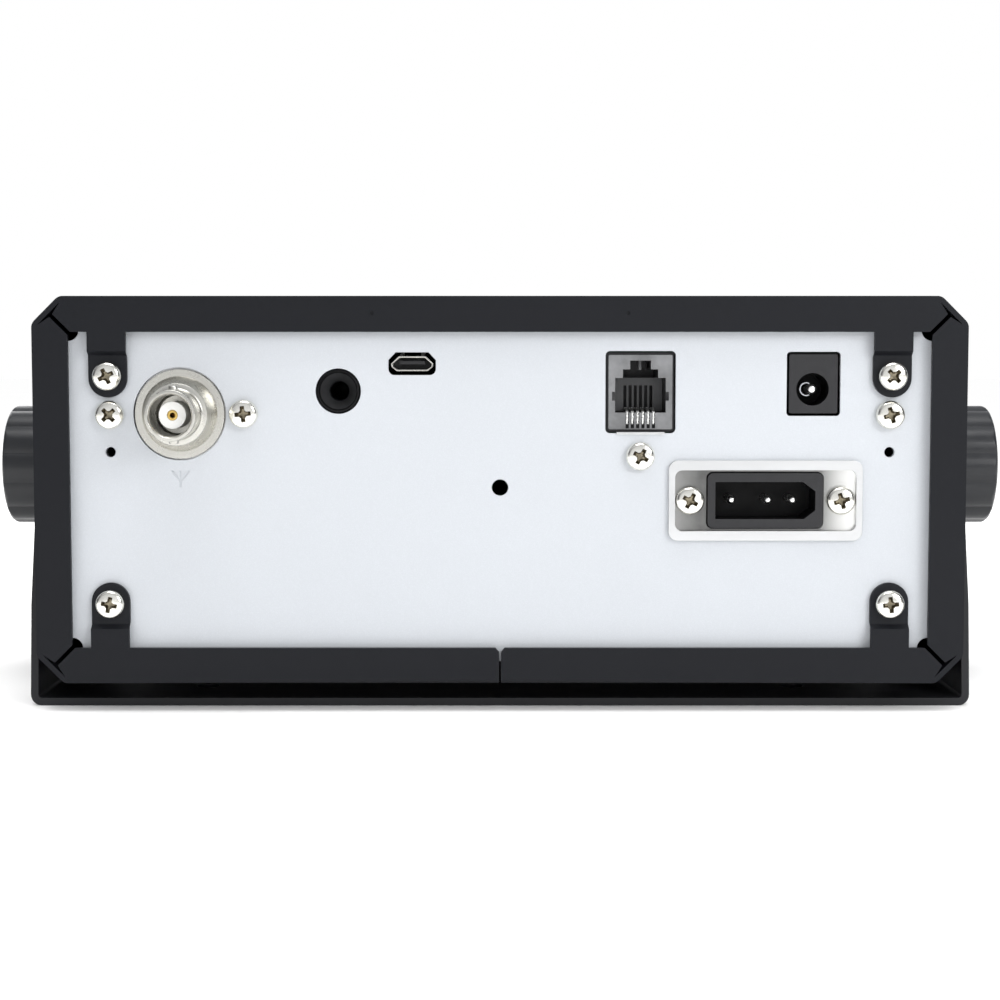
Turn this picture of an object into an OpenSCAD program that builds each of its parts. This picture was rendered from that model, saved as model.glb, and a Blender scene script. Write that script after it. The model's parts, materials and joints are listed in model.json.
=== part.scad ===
// Mobile transceiver on its tilting bracket. Millimetres, +Z up.
// Origin: centre of the bracket base's underside, below the tilt axis.
// The control side faces -Y and the connector side faces +Y.

/* [Case] */
// Width of the case
case_w = 180; // [170:1:220]
// Height of the case
case_h = 75; // [74:1:95]
// Depth of the bent sleeve, front edge to rear edge
sleeve_depth = 125; // [115:1:170]
// Thickness of the sleeve's sheet
sheet_t = 1; // [0.8:0.1:1.5]
// Leg of the chamfer along the sleeve's four corners
chamfer = 5.3; // [4:0.1:6]
// Outer radius of the sleeve's bends
bend_r = 2.2; // [1.6:0.1:3]
// Width of the flange round the open rear
flange_w = 6.9; // [6:0.1:8]
// Gap between two flanges at a corner
mitre_gap = 0.8; // [0.4:0.1:1.2]
// Width of the seam along the middle of the bottom
seam_w = 0.4; // [0.2:0.1:0.8]

/* [Rear panel] */
// Thickness of the rear panel
panel_t = 1.2; // [0.8:0.1:1.6]
// How far the panel's face lies inside the sleeve's rear edge
panel_recess = 2.2; // [2:0.1:3]
// Gap from the case's outer face to the panel's edge
panel_edge = 4; // [3.5:0.1:5]
// Depth of the panel's folded lips
lip_d = 10; // [6:1:14]
// Width of the tabs that hold the panel
tab_w = 7.4; // [6.6:0.1:9]
// Distance from the case's top or bottom to a tab's end
tab_end = 19.5; // [18.5:0.1:22]
// Distance from the case's side to the tab screws
tab_side = 14.3; // [13.5:0.1:16]
// Distance from the case's top or bottom to a tab screw
tab_screw_in = 15.4; // [14.6:0.1:16]
// Radius of the relief notch in each corner of the panel
relief_r = 2; // [1:0.1:2.4]

/* [Rear connectors] */
// Diameter of the antenna jack's hole
antenna_hole_d = 18; // [17:0.1:20]
// How far the antenna jack stands out from the panel
antenna_reach = 11.8; // [10:0.1:14]
// Diameter of the antenna jack's barrel
antenna_barrel_d = 9.66; // [9:0.01:10]
// Diameter of the audio plug that the audio jack takes
audio_bore_d = 3.6; // [3.5:0.1:4]
// Diameter of the audio jack's nose
audio_nose_d = 8.4; // [8:0.1:9]
// Width of the modular jack's face
modular_w = 12.4; // [12:0.1:14]
// Height of the modular jack's face
modular_h = 14.4; // [13.6:0.1:15]
// Diameter of the round power jack's bore
dc_bore_d = 6.3; // [5.5:0.1:6.6]
// Diameter of the round power jack's pin
dc_pin_d = 2; // [1.6:0.1:2.6]
// Width of the power inlet's body
inlet_w = 22.4; // [21.6:0.1:23]
// Height of the power inlet's body
inlet_h = 10.7; // [10:0.1:11.2]
// Diameter of the power inlet's pins
inlet_pin_d = 1.6; // [1.2:0.1:1.8]

/* [Bracket] */
// Thickness of the bracket's sheet
bracket_t = 1.5; // [1.2:0.1:2.5]
// Clear height between the bracket's base and the case
base_gap = 4.1; // [3.5:0.1:8]
// Depth of the bracket's base
bracket_depth = 85.8; // [80:0.1:110]
// Height of the tilt axis above the case's bottom
pivot_h = 40; // [34:1:50]
// Distance from the tilt axis to the sleeve's rear edge
pivot_back = 50; // [44:1:60]
// Thickness of the friction pad on each side of the case
pad_t = 1.3; // [1:0.1:2.5]
// Spacing of the mounting holes across the base
hole_span_x = 120; // [100:1:140]
// Spacing of the mounting holes along the base
hole_span_y = 56; // [40:1:64]
// Diameter of the mounting holes
hole_d = 4.6; // [4:0.1:6]
// Spacing of the two mounting slots
slot_span = 60; // [50:1:80]
// Length of a mounting slot, end to end
slot_l = 20; // [12:1:24]

/* [Thumb knobs] */
// Diameter of a thumb knob over its lobes
thumb_d = 25.4; // [22:0.1:30]
// Length of a thumb knob
thumb_l = 12.3; // [10:0.1:18]
// Number of lobes round a thumb knob
thumb_lobes = 12; // [10:1:14]
// Diameter of the knob's screw
thumb_screw_d = 5; // [4:0.1:6]
// Diameter of the washer under the knob
washer_d = 16; // [12:0.5:18]
// Thickness of the washer
washer_t = 1.2; // [0.8:0.1:2]

/* [Front] */
// Depth of the front panel in front of the sleeve
bezel_d = 24; // [23:1:32]
// How far the front panel's rim stands out past the case
rim = 1; // [0.5:0.1:1.5]
// Thickness of the front panel's face
face_t = 2.8; // [2.4:0.1:4]
// Depth of the spigot that enters the sleeve
spigot_l = 10; // [9:1:14]
// Diameter of the main dial
dial_d = 38; // [34:1:42]
// Length of the main dial
dial_l = 16; // [12:1:20]
// Diameter of the volume and squelch knobs
small_knob_d = 14; // [11:1:16]
// Length of the volume and squelch knobs
small_knob_l = 13; // [10:1:18]
// Diameter of the speaker
speaker_d = 38; // [30:1:39]
// Height of the display lens
lens_h = 32; // [26:1:33]
// Thickness of the display lens
lens_t = 1.5; // [1:0.1:1.8]
// Height of a function key
key_h = 5.5; // [4.5:0.1:6.5]
// How far the keys stand out of the face
key_proud = 1.2; // [0.8:0.1:2]
// Travel of a key
key_travel = 0.6; // [0.4:0.1:0.8]

/* [Fits] */
// Clearance round a key or a lens
key_gap = 0.25; // [0.2:0.05:0.4]
// Radial clearance of a shaft in its bush
shaft_gap = 0.05; // [0.02:0.01:0.1]
// Radial clearance between the thumb screw and the bracket
pivot_gap = 0.3; // [0.3:0.05:0.6]
// Clearance between parts that slide past each other
side_gap = 0.2; // [0.2:0.05:0.5]

/* [Hidden] */
$fn = 64;
eps = 0.01;
half_w = case_w / 2;
case_z = bracket_t + base_gap;
pivot_z = case_z + pivot_h;
rear_y = pivot_back;
front_y = rear_y - sleeve_depth;
bend_steps = 5;
flange_tip = 3.5;
flange_relief = 1;
dimple_x = 24.6;
vent_size = [26, 3];
vent_pitch = 7;
vent_back = 30;

// Screws: M3 pan heads
screw_d = 3;
screw_hole_d = 3.2;
screw_head_d = 5.6;
screw_head_h = 2;

// Rear panel, measured outwards from the sleeve's rear edge
panel_face = -panel_recess;
panel_back = panel_face - panel_t;
lip_end = panel_back - lip_d;
side_screw = [half_w - 14.5, case_h - 22.9];
pin_hole = [half_w - 14.5, case_h - 30.1];

// Main board hangs the connectors from its underside
board_t = 1.6;
board_under = case_h - 10.8;
board_rear = -6.5;
board_front = 19 - sleeve_depth;
board_half_w = half_w - 8.5;
board_screw_at = [for (side = [-1, 1], o = [-16, board_front + 10]) [side * (half_w - 12), o]];

// Chassis inside the sleeve
chassis_half_w = half_w - 6.8;
chassis_t = 1.2;
chassis_floor = 6.6;
relief_l = 8;
// Holes from the rear run through the panel and on through the chassis lug behind it
hole_end = panel_back - chassis_t - 0.4;
lug_in = half_w - 19;
shelf_in = half_w - 16;

// Places of the connectors on the panel
antenna_at = [28 - half_w, case_h - 22.7];
antenna_screw = antenna_at + [12.4, 0];
antenna_front = panel_face + antenna_reach;
audio_at = [58.7 - half_w, case_h - 18.3];
usb_at = [73 - half_w, case_h - 13];
modular_at = [half_w - 62.8, board_under - 0.5 - modular_h / 2];
modular_screw = modular_at - [0, 12.4];
modular_face = panel_face - 0.4;
contact_pitch = 1.02;
dc_at = [half_w - 29.5, case_h - 17.95];
dc_size = [9.4, 11.4];
dc_shift = [0.15, 1.05];
inlet_at = [half_w - 38.5, 35.5];

// Power inlet and its stamped plate
plate_t = 0.8;
plate_size = [37.6, 15.6];
tray_size = [35.9, 12.6];
tray_floor = panel_back + plate_t;
inlet_face = panel_face + 0.3;
inlet_back = -18;
inlet_flange = [38, 18];
inlet_slot = [19.4, 7.2];
inlet_slot_d = 8;
inlet_screw = 14.65;
inlet_pins = [-6.4, 0.7, 5.5];

// Bracket and pivots
arm_in = half_w + pad_t + side_gap;
arm_out = arm_in + bracket_t;
arm_r = 17;
arm_shoulder = [bracket_depth / 2 - 5.9, -9.6];
nut_d = 11;
nut_l = 5;
washer_in = arm_out + side_gap / 2;
knob_in = washer_in + washer_t + shaft_gap;
screw_bore_d = thumb_screw_d + 2 * pivot_gap;
screw_tip = half_w - 10;
lobe_r = 0.425 * thumb_d / 2;

// Front panel, measured outwards from the sleeve's front edge
wall = 2.5;
spigot_out = sheet_t + side_gap;
cavity_in = spigot_out + wall;
face_in = bezel_d - face_t;
fboard_face = face_in - 5.6;
fboard_t = 1.6;
side_screw_h = [18, case_h - 18];
side_screw_y = spigot_l / 2;
dial_at = [half_w - 28, case_h - (case_h - dial_d - small_knob_d) / 3 - dial_d / 2];
knob_h = (case_h - dial_d - small_knob_d) / 3 + small_knob_d / 2;
volume_at = [dial_at[0] - 12, knob_h];
squelch_at = [dial_at[0] + 12, knob_h];
speaker_at = [26 - half_w, case_h - 27];
grille_r = speaker_d / 2 - 2;
grille_slot = 1.9;
grille_pitch = grille_r / 3.7;
lens_x = [52 - half_w, half_w - 56];
lens_w = lens_x[1] - lens_x[0];
lens_at = [(lens_x[0] + lens_x[1]) / 2, case_h - 9 - lens_h / 2];
lens_ledge = 2;
key_pitch = [lens_w / 4, 10];
key_row = 12;
key_w = key_pitch[0] - 3;
key_lip = 1;
key_lip_t = 0.6;
power_at = [14 - half_w, key_row + 3];
power_d = 9;
light_at = [28 - half_w, key_row + 3];
light_d = 3;
shaft_d = 6;
bush_d = 8.4;
encoder_w = 14;
control_w = 9;
boss_d = 6.2;
boss_at = [[7.7 - half_w, 8.5], [half_w - 7.7, 8.5], [half_w - 7.7, case_h - 8.5],
           [lens_x[0] - 3.5, case_h - 8]];
knob_gap = 0.3;
knob_base = bezel_d + knob_gap;
key_at = [for (row = [1, 0], i = [0:3])
    [lens_x[0] + (i + 0.5) * key_pitch[0], key_row + row * key_pitch[1]]];

// The clear height behind a key's flange is its travel and a little more
dome_top = face_in - 0.1 - key_lip_t - key_travel - 0.1;

// ---- Places ----

// Rear face: x to the viewer's right, y up from the case's bottom, z outwards
module on_rear() translate([0, rear_y, case_z]) rotate([90, 0, 180]) children();

// Front face: x to the operator's right, y up from the case's bottom, z outwards
module on_front() translate([0, front_y, case_z]) rotate([90, 0, 0]) children();

// Tilt axis: z outwards through the right side (1) or the left side (-1)
module on_pivot(side) translate([0, 0, pivot_z]) rotate([0, side * 90, 0]) children();

// Runs a profile drawn in a face's height and depth along that face's x
module across(width) rotate([90, 0, 90]) linear_extrude(width, center = true) children();

module at(place, depth = 0) translate([place[0], place[1], depth]) children();

// ---- Shared shapes ----

// Points of the case's outline, inset from its outer face, with each bend as an arc
function case_points(inset, r) = let (
    a = half_w - inset, b = case_h / 2 - inset, c = chamfer - inset * (2 - sqrt(2)),
    corners = [[a, b - c], [a - c, b], [c - a, b], [-a, b - c],
               [-a, c - b], [c - a, -b], [a - c, -b], [a, c - b]])
    [for (k = [0:7], s = [0:bend_steps]) let (turn = 45 * (k + s / bend_steps), mid = 45 * k + 22.5)
        corners[k] - r / cos(22.5) * [cos(mid), sin(mid)] + r * [cos(turn), sin(turn)]
        + [0, case_h / 2]];

module case_outline(inset) polygon(case_points(inset, max(bend_r - inset, 0.3)));

module block(size, r = 0) {
    if (r == 0) square(size, center = true);
    else {
        square([size[0], size[1] - 2 * r], center = true);
        square([size[0] - 2 * r, size[1]], center = true);
        for (x = [-1, 1], y = [-1, 1]) translate([x * (size[0] / 2 - r), y * (size[1] / 2 - r)]) circle(r);
    }
}

module slot(length, width) {
    square([length - width, width], center = true);
    for (x = [-1, 1]) translate([x * (length - width) / 2, 0]) circle(d = width);
}

module slab(place, size, from, to, r = 0)
    at(place, from) linear_extrude(to - from) block(size, r);

module drill(place, d, from, to) at(place, from) cylinder(d = d, h = to - from);

// A pan head with a cross recess, its shank running down from z = 0
module pan_screw(length) {
    recess = 0.9;
    difference() {
        union() {
            rotate_extrude() polygon(concat([[0, 0], [screw_head_d / 2, 0]],
                [for (a = [0:15:90]) [screw_head_d / 2 - 1 + cos(a), screw_head_h - 1 + sin(a)]],
                [[0, screw_head_h]]));
            translate([0, 0, -length]) cylinder(d = screw_d, h = length + eps);
        }
        for (turn = [0, 90]) rotate(turn) translate([0, 0, screw_head_h])
            cube([screw_head_d * 0.62, 0.7, 2 * recess], center = true);
    }
}

// Mirror copies on both sides of the case's middle
module both_sides() {
    children();
    mirror([1, 0, 0]) children();
}

// Copies along the case's top and bottom
module top_and_bottom() {
    children();
    translate([0, case_h, 0]) mirror([0, 1, 0]) children();
}

// ---- Bracket and its knobs ----

module u_shape(half, low, r) polygon(concat(
    [[-half, pivot_z + 2 * arm_r]],
    [for (a = [0:15:90]) [r - half - r * cos(a), low + r - r * sin(a)]],
    [for (a = [90:-15:0]) [half - r + r * cos(a), low + r - r * sin(a)]],
    [[half, pivot_z + 2 * arm_r]]));

module arm_outline() {
    reach = norm(arm_shoulder);
    turn = atan2(arm_shoulder[1], arm_shoulder[0]) + acos(arm_r / reach);
    touch = arm_r * [cos(turn), sin(turn)];
    half = [[bracket_depth / 2, -pivot_z], [bracket_depth / 2 - 1.8, 20 - pivot_z], arm_shoulder, touch];
    translate([0, pivot_z]) {
        circle(arm_r);
        polygon(concat(half, [for (i = [3:-1:0]) [-half[i][0], half[i][1]]]));
    }
}

module bracket() color([0.09, 0.09, 0.11]) difference() {
    intersection() {
        rotate([90, 0, 0]) linear_extrude(bracket_depth, center = true) difference() {
            u_shape(arm_out, 0, bend_r);
            u_shape(arm_in, bracket_t, bend_r - bracket_t);
        }
        across(2 * arm_out) arm_outline();
    }
    translate([0, 0, pivot_z]) rotate([0, 90, 0])
        cylinder(d = screw_bore_d, h = 3 * arm_out, center = true);
    for (x = [-1, 1], y = [-1, 1]) translate([x * hole_span_x / 2, y * hole_span_y / 2, -1])
        cylinder(d = hole_d, h = bracket_t + 2);
    for (x = [-1, 1]) translate([x * slot_span / 2, 0, -1]) linear_extrude(bracket_t + 2)
        slot(slot_l, hole_d);
}

module thumb_knob(side) on_pivot(side) translate([0, 0, knob_in]) difference() {
    intersection() {
        linear_extrude(thumb_l + 1) {
            circle(d = thumb_d - 2.4);
            for (i = [0:thumb_lobes - 1]) rotate(side * (90 - 1) + i * 360 / thumb_lobes)
                translate([thumb_d / 2 - lobe_r, 0]) circle(lobe_r);
        }
        rotate_extrude() polygon(concat([[0, 0], [thumb_d / 2 - 0.5, 0], [thumb_d / 2, 0.5]],
            [for (a = [0:18:72]) [thumb_d / 2 - 1.2 + 1.2 * cos(a), thumb_l - 2.1 + 1.2 * sin(a)]],
            [[thumb_d / 4, thumb_l - 0.25], [0, thumb_l]]));
    }
    translate([0, 0, -1]) cylinder(d = thumb_screw_d + 2 * shaft_gap, h = 5);
    translate([0, 0, 3]) cylinder(d = 9, h = 3.5);
}

module left_knob() color([0.28, 0.29, 0.31]) thumb_knob(-1);
module right_knob() color([0.28, 0.29, 0.31]) thumb_knob(1);

// Screw moulded into a thumb knob by its round head
module thumb_screw(side) on_pivot(side) {
    translate([0, 0, screw_tip]) cylinder(d = thumb_screw_d, h = knob_in + 4 - screw_tip);
    translate([0, 0, screw_tip - 1]) cylinder(d1 = thumb_screw_d - 2, d2 = thumb_screw_d, h = 1);
    translate([0, 0, knob_in + 3]) cylinder(d = 9 - 2 * shaft_gap, h = 3.5);
}

module left_knob_screw() color([0.6, 0.6, 0.62]) thumb_screw(-1);
module right_knob_screw() color([0.6, 0.6, 0.62]) thumb_screw(1);

module washer(side) on_pivot(side) translate([0, 0, washer_in]) difference() {
    cylinder(d = washer_d, h = washer_t);
    translate([0, 0, -1]) cylinder(d = thumb_screw_d + 2 * shaft_gap, h = washer_t + 2);
}

module left_knob_washer() color([0.65, 0.65, 0.67]) washer(-1);
module right_knob_washer() color([0.65, 0.65, 0.67]) washer(1);

module pivot_pads() color([0.08, 0.08, 0.08]) for (side = [-1, 1])
    on_pivot(side) translate([0, 0, half_w]) difference() {
        cylinder(d = thumb_d - 5, h = pad_t);
        translate([0, 0, -1]) cylinder(d = screw_bore_d + 1, h = pad_t + 2);
    }

module pivot_nuts() color([0.7, 0.7, 0.68]) for (side = [-1, 1])
    on_pivot(side) translate([0, 0, half_w - sheet_t - nut_l]) difference() {
        cylinder(d = nut_d, h = nut_l);
        translate([0, 0, -1]) cylinder(d = thumb_screw_d + 2 * shaft_gap, h = nut_l + 2);
    }

// ---- Case ----

module top_flange() {
    shift = mitre_gap / sqrt(2);
    end = [[half_w - chamfer - flange_relief, case_h], [half_w - flange_tip - shift, case_h - flange_tip],
           [half_w - flange_w - shift, case_h - flange_w]];
    polygon(concat(end, [for (i = [2:-1:0]) [-end[i][0], end[i][1]]]));
}

module side_flange() {
    shift = mitre_gap / sqrt(2);
    end = [[half_w, chamfer + flange_relief], [half_w - flange_tip, flange_tip + shift],
           [half_w - flange_w, flange_w + shift]];
    polygon(concat(end, [for (i = [2:-1:0]) [end[i][0], case_h - end[i][1]]]));
}

// Joggled tab that runs from the top flange down onto the rear panel
module tab() {
    x = half_w - tab_side;
    drop = panel_recess - sheet_t;
    joggle_top = case_h - tab_screw_in + screw_head_d / 2 + 2;
    joggle_run = 0.8;
    bend_step = 0.4;
    round_end = case_h - tab_end + tab_w / 2;
    intersection() {
        translate([x, 0, 0]) across(tab_w) polygon([
            [case_h - flange_w + 1, 0], [joggle_top, 0], [joggle_top - joggle_run, -drop],
            [case_h - tab_end, -drop], [case_h - tab_end, -drop - sheet_t],
            [joggle_top - joggle_run - bend_step, -drop - sheet_t], [joggle_top - bend_step, -sheet_t],
            [case_h - flange_w + 1, -sheet_t]]);
        translate([0, 0, -panel_recess - 1]) linear_extrude(panel_recess + 2) {
            translate([x, round_end]) circle(d = tab_w);
            translate([x - tab_w / 2, round_end]) square([tab_w, tab_end]);
        }
    }
}

module case_sleeve() color([0.17, 0.17, 0.19]) difference() {
    on_rear() {
        translate([0, 0, -sleeve_depth]) linear_extrude(sleeve_depth) difference() {
            case_outline(0);
            case_outline(sheet_t);
        }
        translate([0, 0, -sheet_t]) linear_extrude(sheet_t) {
            top_and_bottom() top_flange();
            both_sides() side_flange();
        }
        top_and_bottom() both_sides() tab();
    }
    on_rear() {
        top_and_bottom() both_sides()
            drill([half_w - tab_side, case_h - tab_screw_in], screw_hole_d, hole_end, 1);
        for (side = [-1, 1]) drill([side * dimple_x, case_h - 3.3], 0.8, -0.3, 1);
        translate([-seam_w / 2, -1, -sleeve_depth - 1]) cube([seam_w, flange_w + 2, sleeve_depth + 2]);
        translate([0, flange_w, 0]) linear_extrude(5, center = true)
            polygon([[-1, 0.1], [0, -1], [1, 0.1]]);
        // Air slots over the output stage
        for (i = [-4:4]) translate([i * vent_pitch, case_h, -vent_back]) rotate([90, 0, 0])
            linear_extrude(4, center = true) rotate(90) slot(vent_size[0], vent_size[1]);
    }
    translate([0, 0, pivot_z]) rotate([0, 90, 0])
        cylinder(d = screw_bore_d, h = 2 * case_w, center = true);
    for (h = side_screw_h) translate([0, front_y + side_screw_y, case_z + h]) rotate([0, 90, 0])
        cylinder(d = screw_hole_d, h = 2 * case_w, center = true);
}

// Rear tab screws, and the side screws that hold the front panel
module sleeve_screws() color([0.75, 0.74, 0.7]) {
    on_rear() top_and_bottom() both_sides()
        at([half_w - tab_side, case_h - tab_screw_in], panel_face + sheet_t) pan_screw(7);
    for (side = [-1, 1], h = side_screw_h)
        translate([side * half_w, front_y + side_screw_y, case_z + h]) rotate([0, side * 90, 0])
            pan_screw(sheet_t + side_gap + wall + 1);
}

// Notch that clears the mitred corners of the flanges
module corner_relief() top_and_bottom() both_sides()
    translate([half_w - flange_w + 0.3, case_h - flange_w + 0.3]) {
        circle(relief_r);
        square(flange_w);
    }

module panel_outline() {
    size = [case_w - 2 * panel_edge, case_h - 2 * panel_edge];
    difference() {
        translate([0, case_h / 2]) square(size, center = true);
        corner_relief();
    }
}

// Engraved antenna sign: a mast between two slanting arms
module antenna_sign() {
    line = 0.4;
    translate([-line / 2, -1.6]) square([line, 3.2]);
    for (side = [-1, 1]) translate([0, -0.4]) rotate(side * 40) translate([-line / 2, 0])
        square([line, 2.6]);
}

// Slanted above and rounded below
module usb_cutout() {
    polygon([[-3.2, 2.2], [3.2, 2.2], [4.6, 0.7], [4.6, -1], [-4.6, -1], [-4.6, 0.7]]);
    translate([-3.4, -2.2]) square([6.8, 1.5]);
    both_sides() translate([3.4, -1]) circle(1.2);
}

module rear_panel() color([0.88, 0.89, 0.9]) on_rear() difference() {
    union() {
        translate([0, 0, panel_back]) linear_extrude(panel_t) panel_outline();
        for (h = [panel_edge, case_h - panel_edge - panel_t])
            translate([15 - half_w, h, lip_end]) cube([case_w - 30, panel_t, lip_d + eps]);
        both_sides() translate([half_w - panel_edge - panel_t, 14, lip_end])
            cube([panel_t, case_h - 28, lip_d + eps]);
    }
    top_and_bottom() both_sides()
        drill([half_w - tab_side, case_h - tab_screw_in], screw_hole_d, hole_end, 1);
    both_sides() drill(side_screw, screw_hole_d, hole_end, 1);
    both_sides() drill(pin_hole, 2, hole_end, 1);
    drill([0, case_h / 2 + 0.5], screw_hole_d, hole_end, 1);
    drill(antenna_screw, screw_hole_d, hole_end, 1);
    drill(modular_screw, screw_hole_d, hole_end, 1);
    drill(antenna_at, antenna_hole_d, hole_end, 1);
    at(antenna_at - [0, 12.6], panel_face - 0.2) linear_extrude(1) antenna_sign();
    drill(audio_at, audio_nose_d + 0.4, hole_end, 1);
    at(usb_at, hole_end) linear_extrude(1 - hole_end) usb_cutout();
    slab(modular_at, [modular_w + 1.2, modular_h + 1.5], hole_end, 1, 0.9);
    slab(dc_at + dc_shift, dc_size + [1, 1], hole_end, 1, 0.7);
    slab(inlet_at, tray_size + [0.8, 0.8], hole_end, 1);
}

module chassis() color([0.75, 0.76, 0.77]) on_rear() difference() {
    union() {
        translate([0, 0, board_front]) linear_extrude(panel_back - board_front) difference() {
            translate([-chassis_half_w, chassis_floor])
                square([2 * chassis_half_w, board_under - chassis_floor]);
            translate([chassis_t - chassis_half_w, chassis_floor + chassis_t])
                square([2 * (chassis_half_w - chassis_t), case_h]);
        }
        both_sides() {
            translate([lug_in, chassis_floor, panel_back - chassis_t])
                cube([chassis_half_w - lug_in, board_under - chassis_floor, chassis_t]);
            translate([shelf_in, board_under - chassis_t, board_front])
                cube([chassis_half_w - shelf_in, chassis_t, panel_back - board_front]);
        }
    }
    top_and_bottom() both_sides()
        drill([half_w - tab_side, case_h - tab_screw_in], screw_hole_d, hole_end, 1);
    both_sides() drill(side_screw, screw_hole_d, hole_end, 1);
    both_sides() drill(pin_hole, 2, hole_end, 1);
    translate([0, 0, panel_back - relief_l]) linear_extrude(relief_l + 1) corner_relief();
    board_screw_holes();
    at([0, pivot_h], -pivot_back) rotate([0, 90, 0])
        cylinder(d = thumb_screw_d + 3, h = 2 * case_w, center = true);
}

module panel_screws() color([0.75, 0.74, 0.7]) on_rear() {
    both_sides() at(side_screw, panel_face) pan_screw(6);
    at(antenna_screw, panel_face) pan_screw(6);
    at(modular_screw, panel_face) pan_screw(6);
}

// ---- Inside ----

module board_screw_holes() for (p = board_screw_at)
    translate([p[0], 0, p[1]]) rotate([-90, 0, 0]) cylinder(d = screw_hole_d, h = case_h);

module main_board() color([0.1, 0.35, 0.2]) on_rear() difference() {
    translate([-board_half_w, board_under, board_front])
        cube([2 * board_half_w, board_t, board_rear - board_front]);
    board_screw_holes();
}

module board_screws() color([0.75, 0.74, 0.7]) on_rear() for (p = board_screw_at)
    translate([p[0], board_under + board_t, p[1]]) rotate([-90, 0, 0]) pan_screw(5);

module hung_block(place, size) translate([place[0] - size[0] / 2, board_under - size[1],
    place[1] - size[2] / 2]) cube(size);

module hung_can(place, d, h) translate([place[0], board_under - h, place[1]])
    rotate([-90, 0, 0]) cylinder(d = d, h = h);

// Parts under the main board: capacitors, coils, chips and the ribbon socket
module board_parts() color([0.15, 0.15, 0.16]) on_rear() {
    for (p = [[-16, -34], [-16, -48], [-3, -34]]) hung_can(p, 10, 12.5);
    for (p = [[44, -36], [55, -36], [44, -48]]) hung_can(p, 8, 7);
    for (p = [[14, -62], [-12, -72], [36, -70]]) hung_block(p, [13, 2.2, 13]);
    hung_block([12, -44], [11, 3.6, 5]);
    hung_block([0, board_front + 8], [28, 6, 6]);
}

module rf_shield() color([0.8, 0.8, 0.78]) on_rear() difference() {
    translate([22 - half_w, board_under - 16, -76]) cube([38, 16, 42]);
    translate([22.5 - half_w, board_under - 15.5, -75.5]) cube([37, 16, 41]);
}

// Output stage on a flange, cooled by the chassis floor
module power_module() color([0.2, 0.2, 0.2]) on_rear()
    translate([0, chassis_floor + chassis_t, -60]) {
        translate([-31, 0, 0]) cube([62, 2, 16]);
        translate([-26, 2 - eps, 1.5]) cube([52, 7, 13]);
    }

// ---- Connectors ----

module antenna_plate() color([0.78, 0.78, 0.76]) on_rear() difference() {
    slab(antenna_at + [4.75, 0], [26.5, 22], panel_back - 1.5, panel_back);
    drill(antenna_at, antenna_barrel_d, -9, 1);
    drill(antenna_screw, screw_hole_d, -9, 1);
}

module antenna_jack() color([0.8, 0.8, 0.78]) on_rear() at(antenna_at) {
    r = antenna_barrel_d / 2;
    rotate_extrude() polygon([
        [2.62, -14], [r - 0.05, -14], [r - 0.05, panel_back], [antenna_hole_d / 2 - 0.3, panel_back],
        [antenna_hole_d / 2 - 0.3, panel_face + 0.2], [7.2, panel_face + 0.2], [6, 1], [6, 2],
        [r, 2.6], [r, antenna_front - 0.4], [r - 0.3, antenna_front],
        [r - 0.5, antenna_front], [r - 0.75, antenna_front - 0.4], [r - 0.75, 0], [2.62, 0]]);
    // Bayonet studs
    for (side = [-1, 1]) translate([0, 0, antenna_front - 4.6]) rotate([side * 90, 0, 0])
        translate([0, 0, r - 0.4]) cylinder(r = 1, h = 1.1);
}

module antenna_insulator() color([0.95, 0.95, 0.94]) on_rear() at(antenna_at)
    rotate_extrude() polygon([[1.02, -14], [2.6, -14], [2.6, antenna_front - 3],
                              [1.02, antenna_front - 3]]);

module antenna_contact() color([0.8, 0.62, 0.25]) on_rear() at(antenna_at)
    rotate_extrude() polygon([[0, -17], [1, -17], [1, antenna_front - 3.2], [0.5, antenna_front - 3.2],
                              [0.5, antenna_front - 8], [0, antenna_front - 8]]);

module audio_jack() color([0.1, 0.1, 0.11]) on_rear() {
    depth = 14;
    difference() {
        union() {
            at(audio_at, panel_back - eps) cylinder(d = audio_nose_d, h = panel_t + eps);
            translate([audio_at[0] - 5.5, audio_at[1] - 5.5, panel_back - depth])
                cube([11, board_under - audio_at[1] + 5.5, depth]);
        }
        at(audio_at, panel_back - depth + 1) cylinder(d = audio_bore_d, h = depth + 2);
        at(audio_at, panel_face - 4.4) cylinder(d1 = 5, d2 = 7.4, h = 4.4 + eps);
    }
}

module usb_outline(inset) polygon([
    [-2.6 + inset / 2, 1.45 - inset], [2.6 - inset / 2, 1.45 - inset], [4.1 - inset, 0],
    [4 - inset, -0.6], [3 - inset / 2, inset - 1.45], [inset / 2 - 3, inset - 1.45],
    [inset - 4, -0.6], [inset - 4.1, 0]]);

module usb_shell() color([0.75, 0.75, 0.74]) on_rear() {
    mouth = panel_face - 0.6;
    at(usb_at, mouth - 6) linear_extrude(6) difference() {
        usb_outline(0);
        usb_outline(0.3);
    }
    for (u = [-2, 2]) translate([usb_at[0] + u - 0.4, usb_at[1] + 1.3, mouth - 5])
        cube([0.8, board_under - usb_at[1] - 1.3, 2]);
}

module usb_tongue() color([0.1, 0.1, 0.1]) on_rear() {
    at(usb_at, panel_face - 6.6) linear_extrude(1) usb_outline(0.32);
    slab(usb_at + [0, 0.2], [5, 0.7], panel_face - 6, panel_face - 1.6);
}

// Socket profile of the modular jack: plug body, shoulder and latch slot
module modular_socket() {
    translate([-4.9, -3.95]) square([9.8, 6.7]);
    translate([-3.4, 2]) square([6.8, 2.4]);
    translate([-2, 4]) square([4, 2.1]);
}

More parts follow.
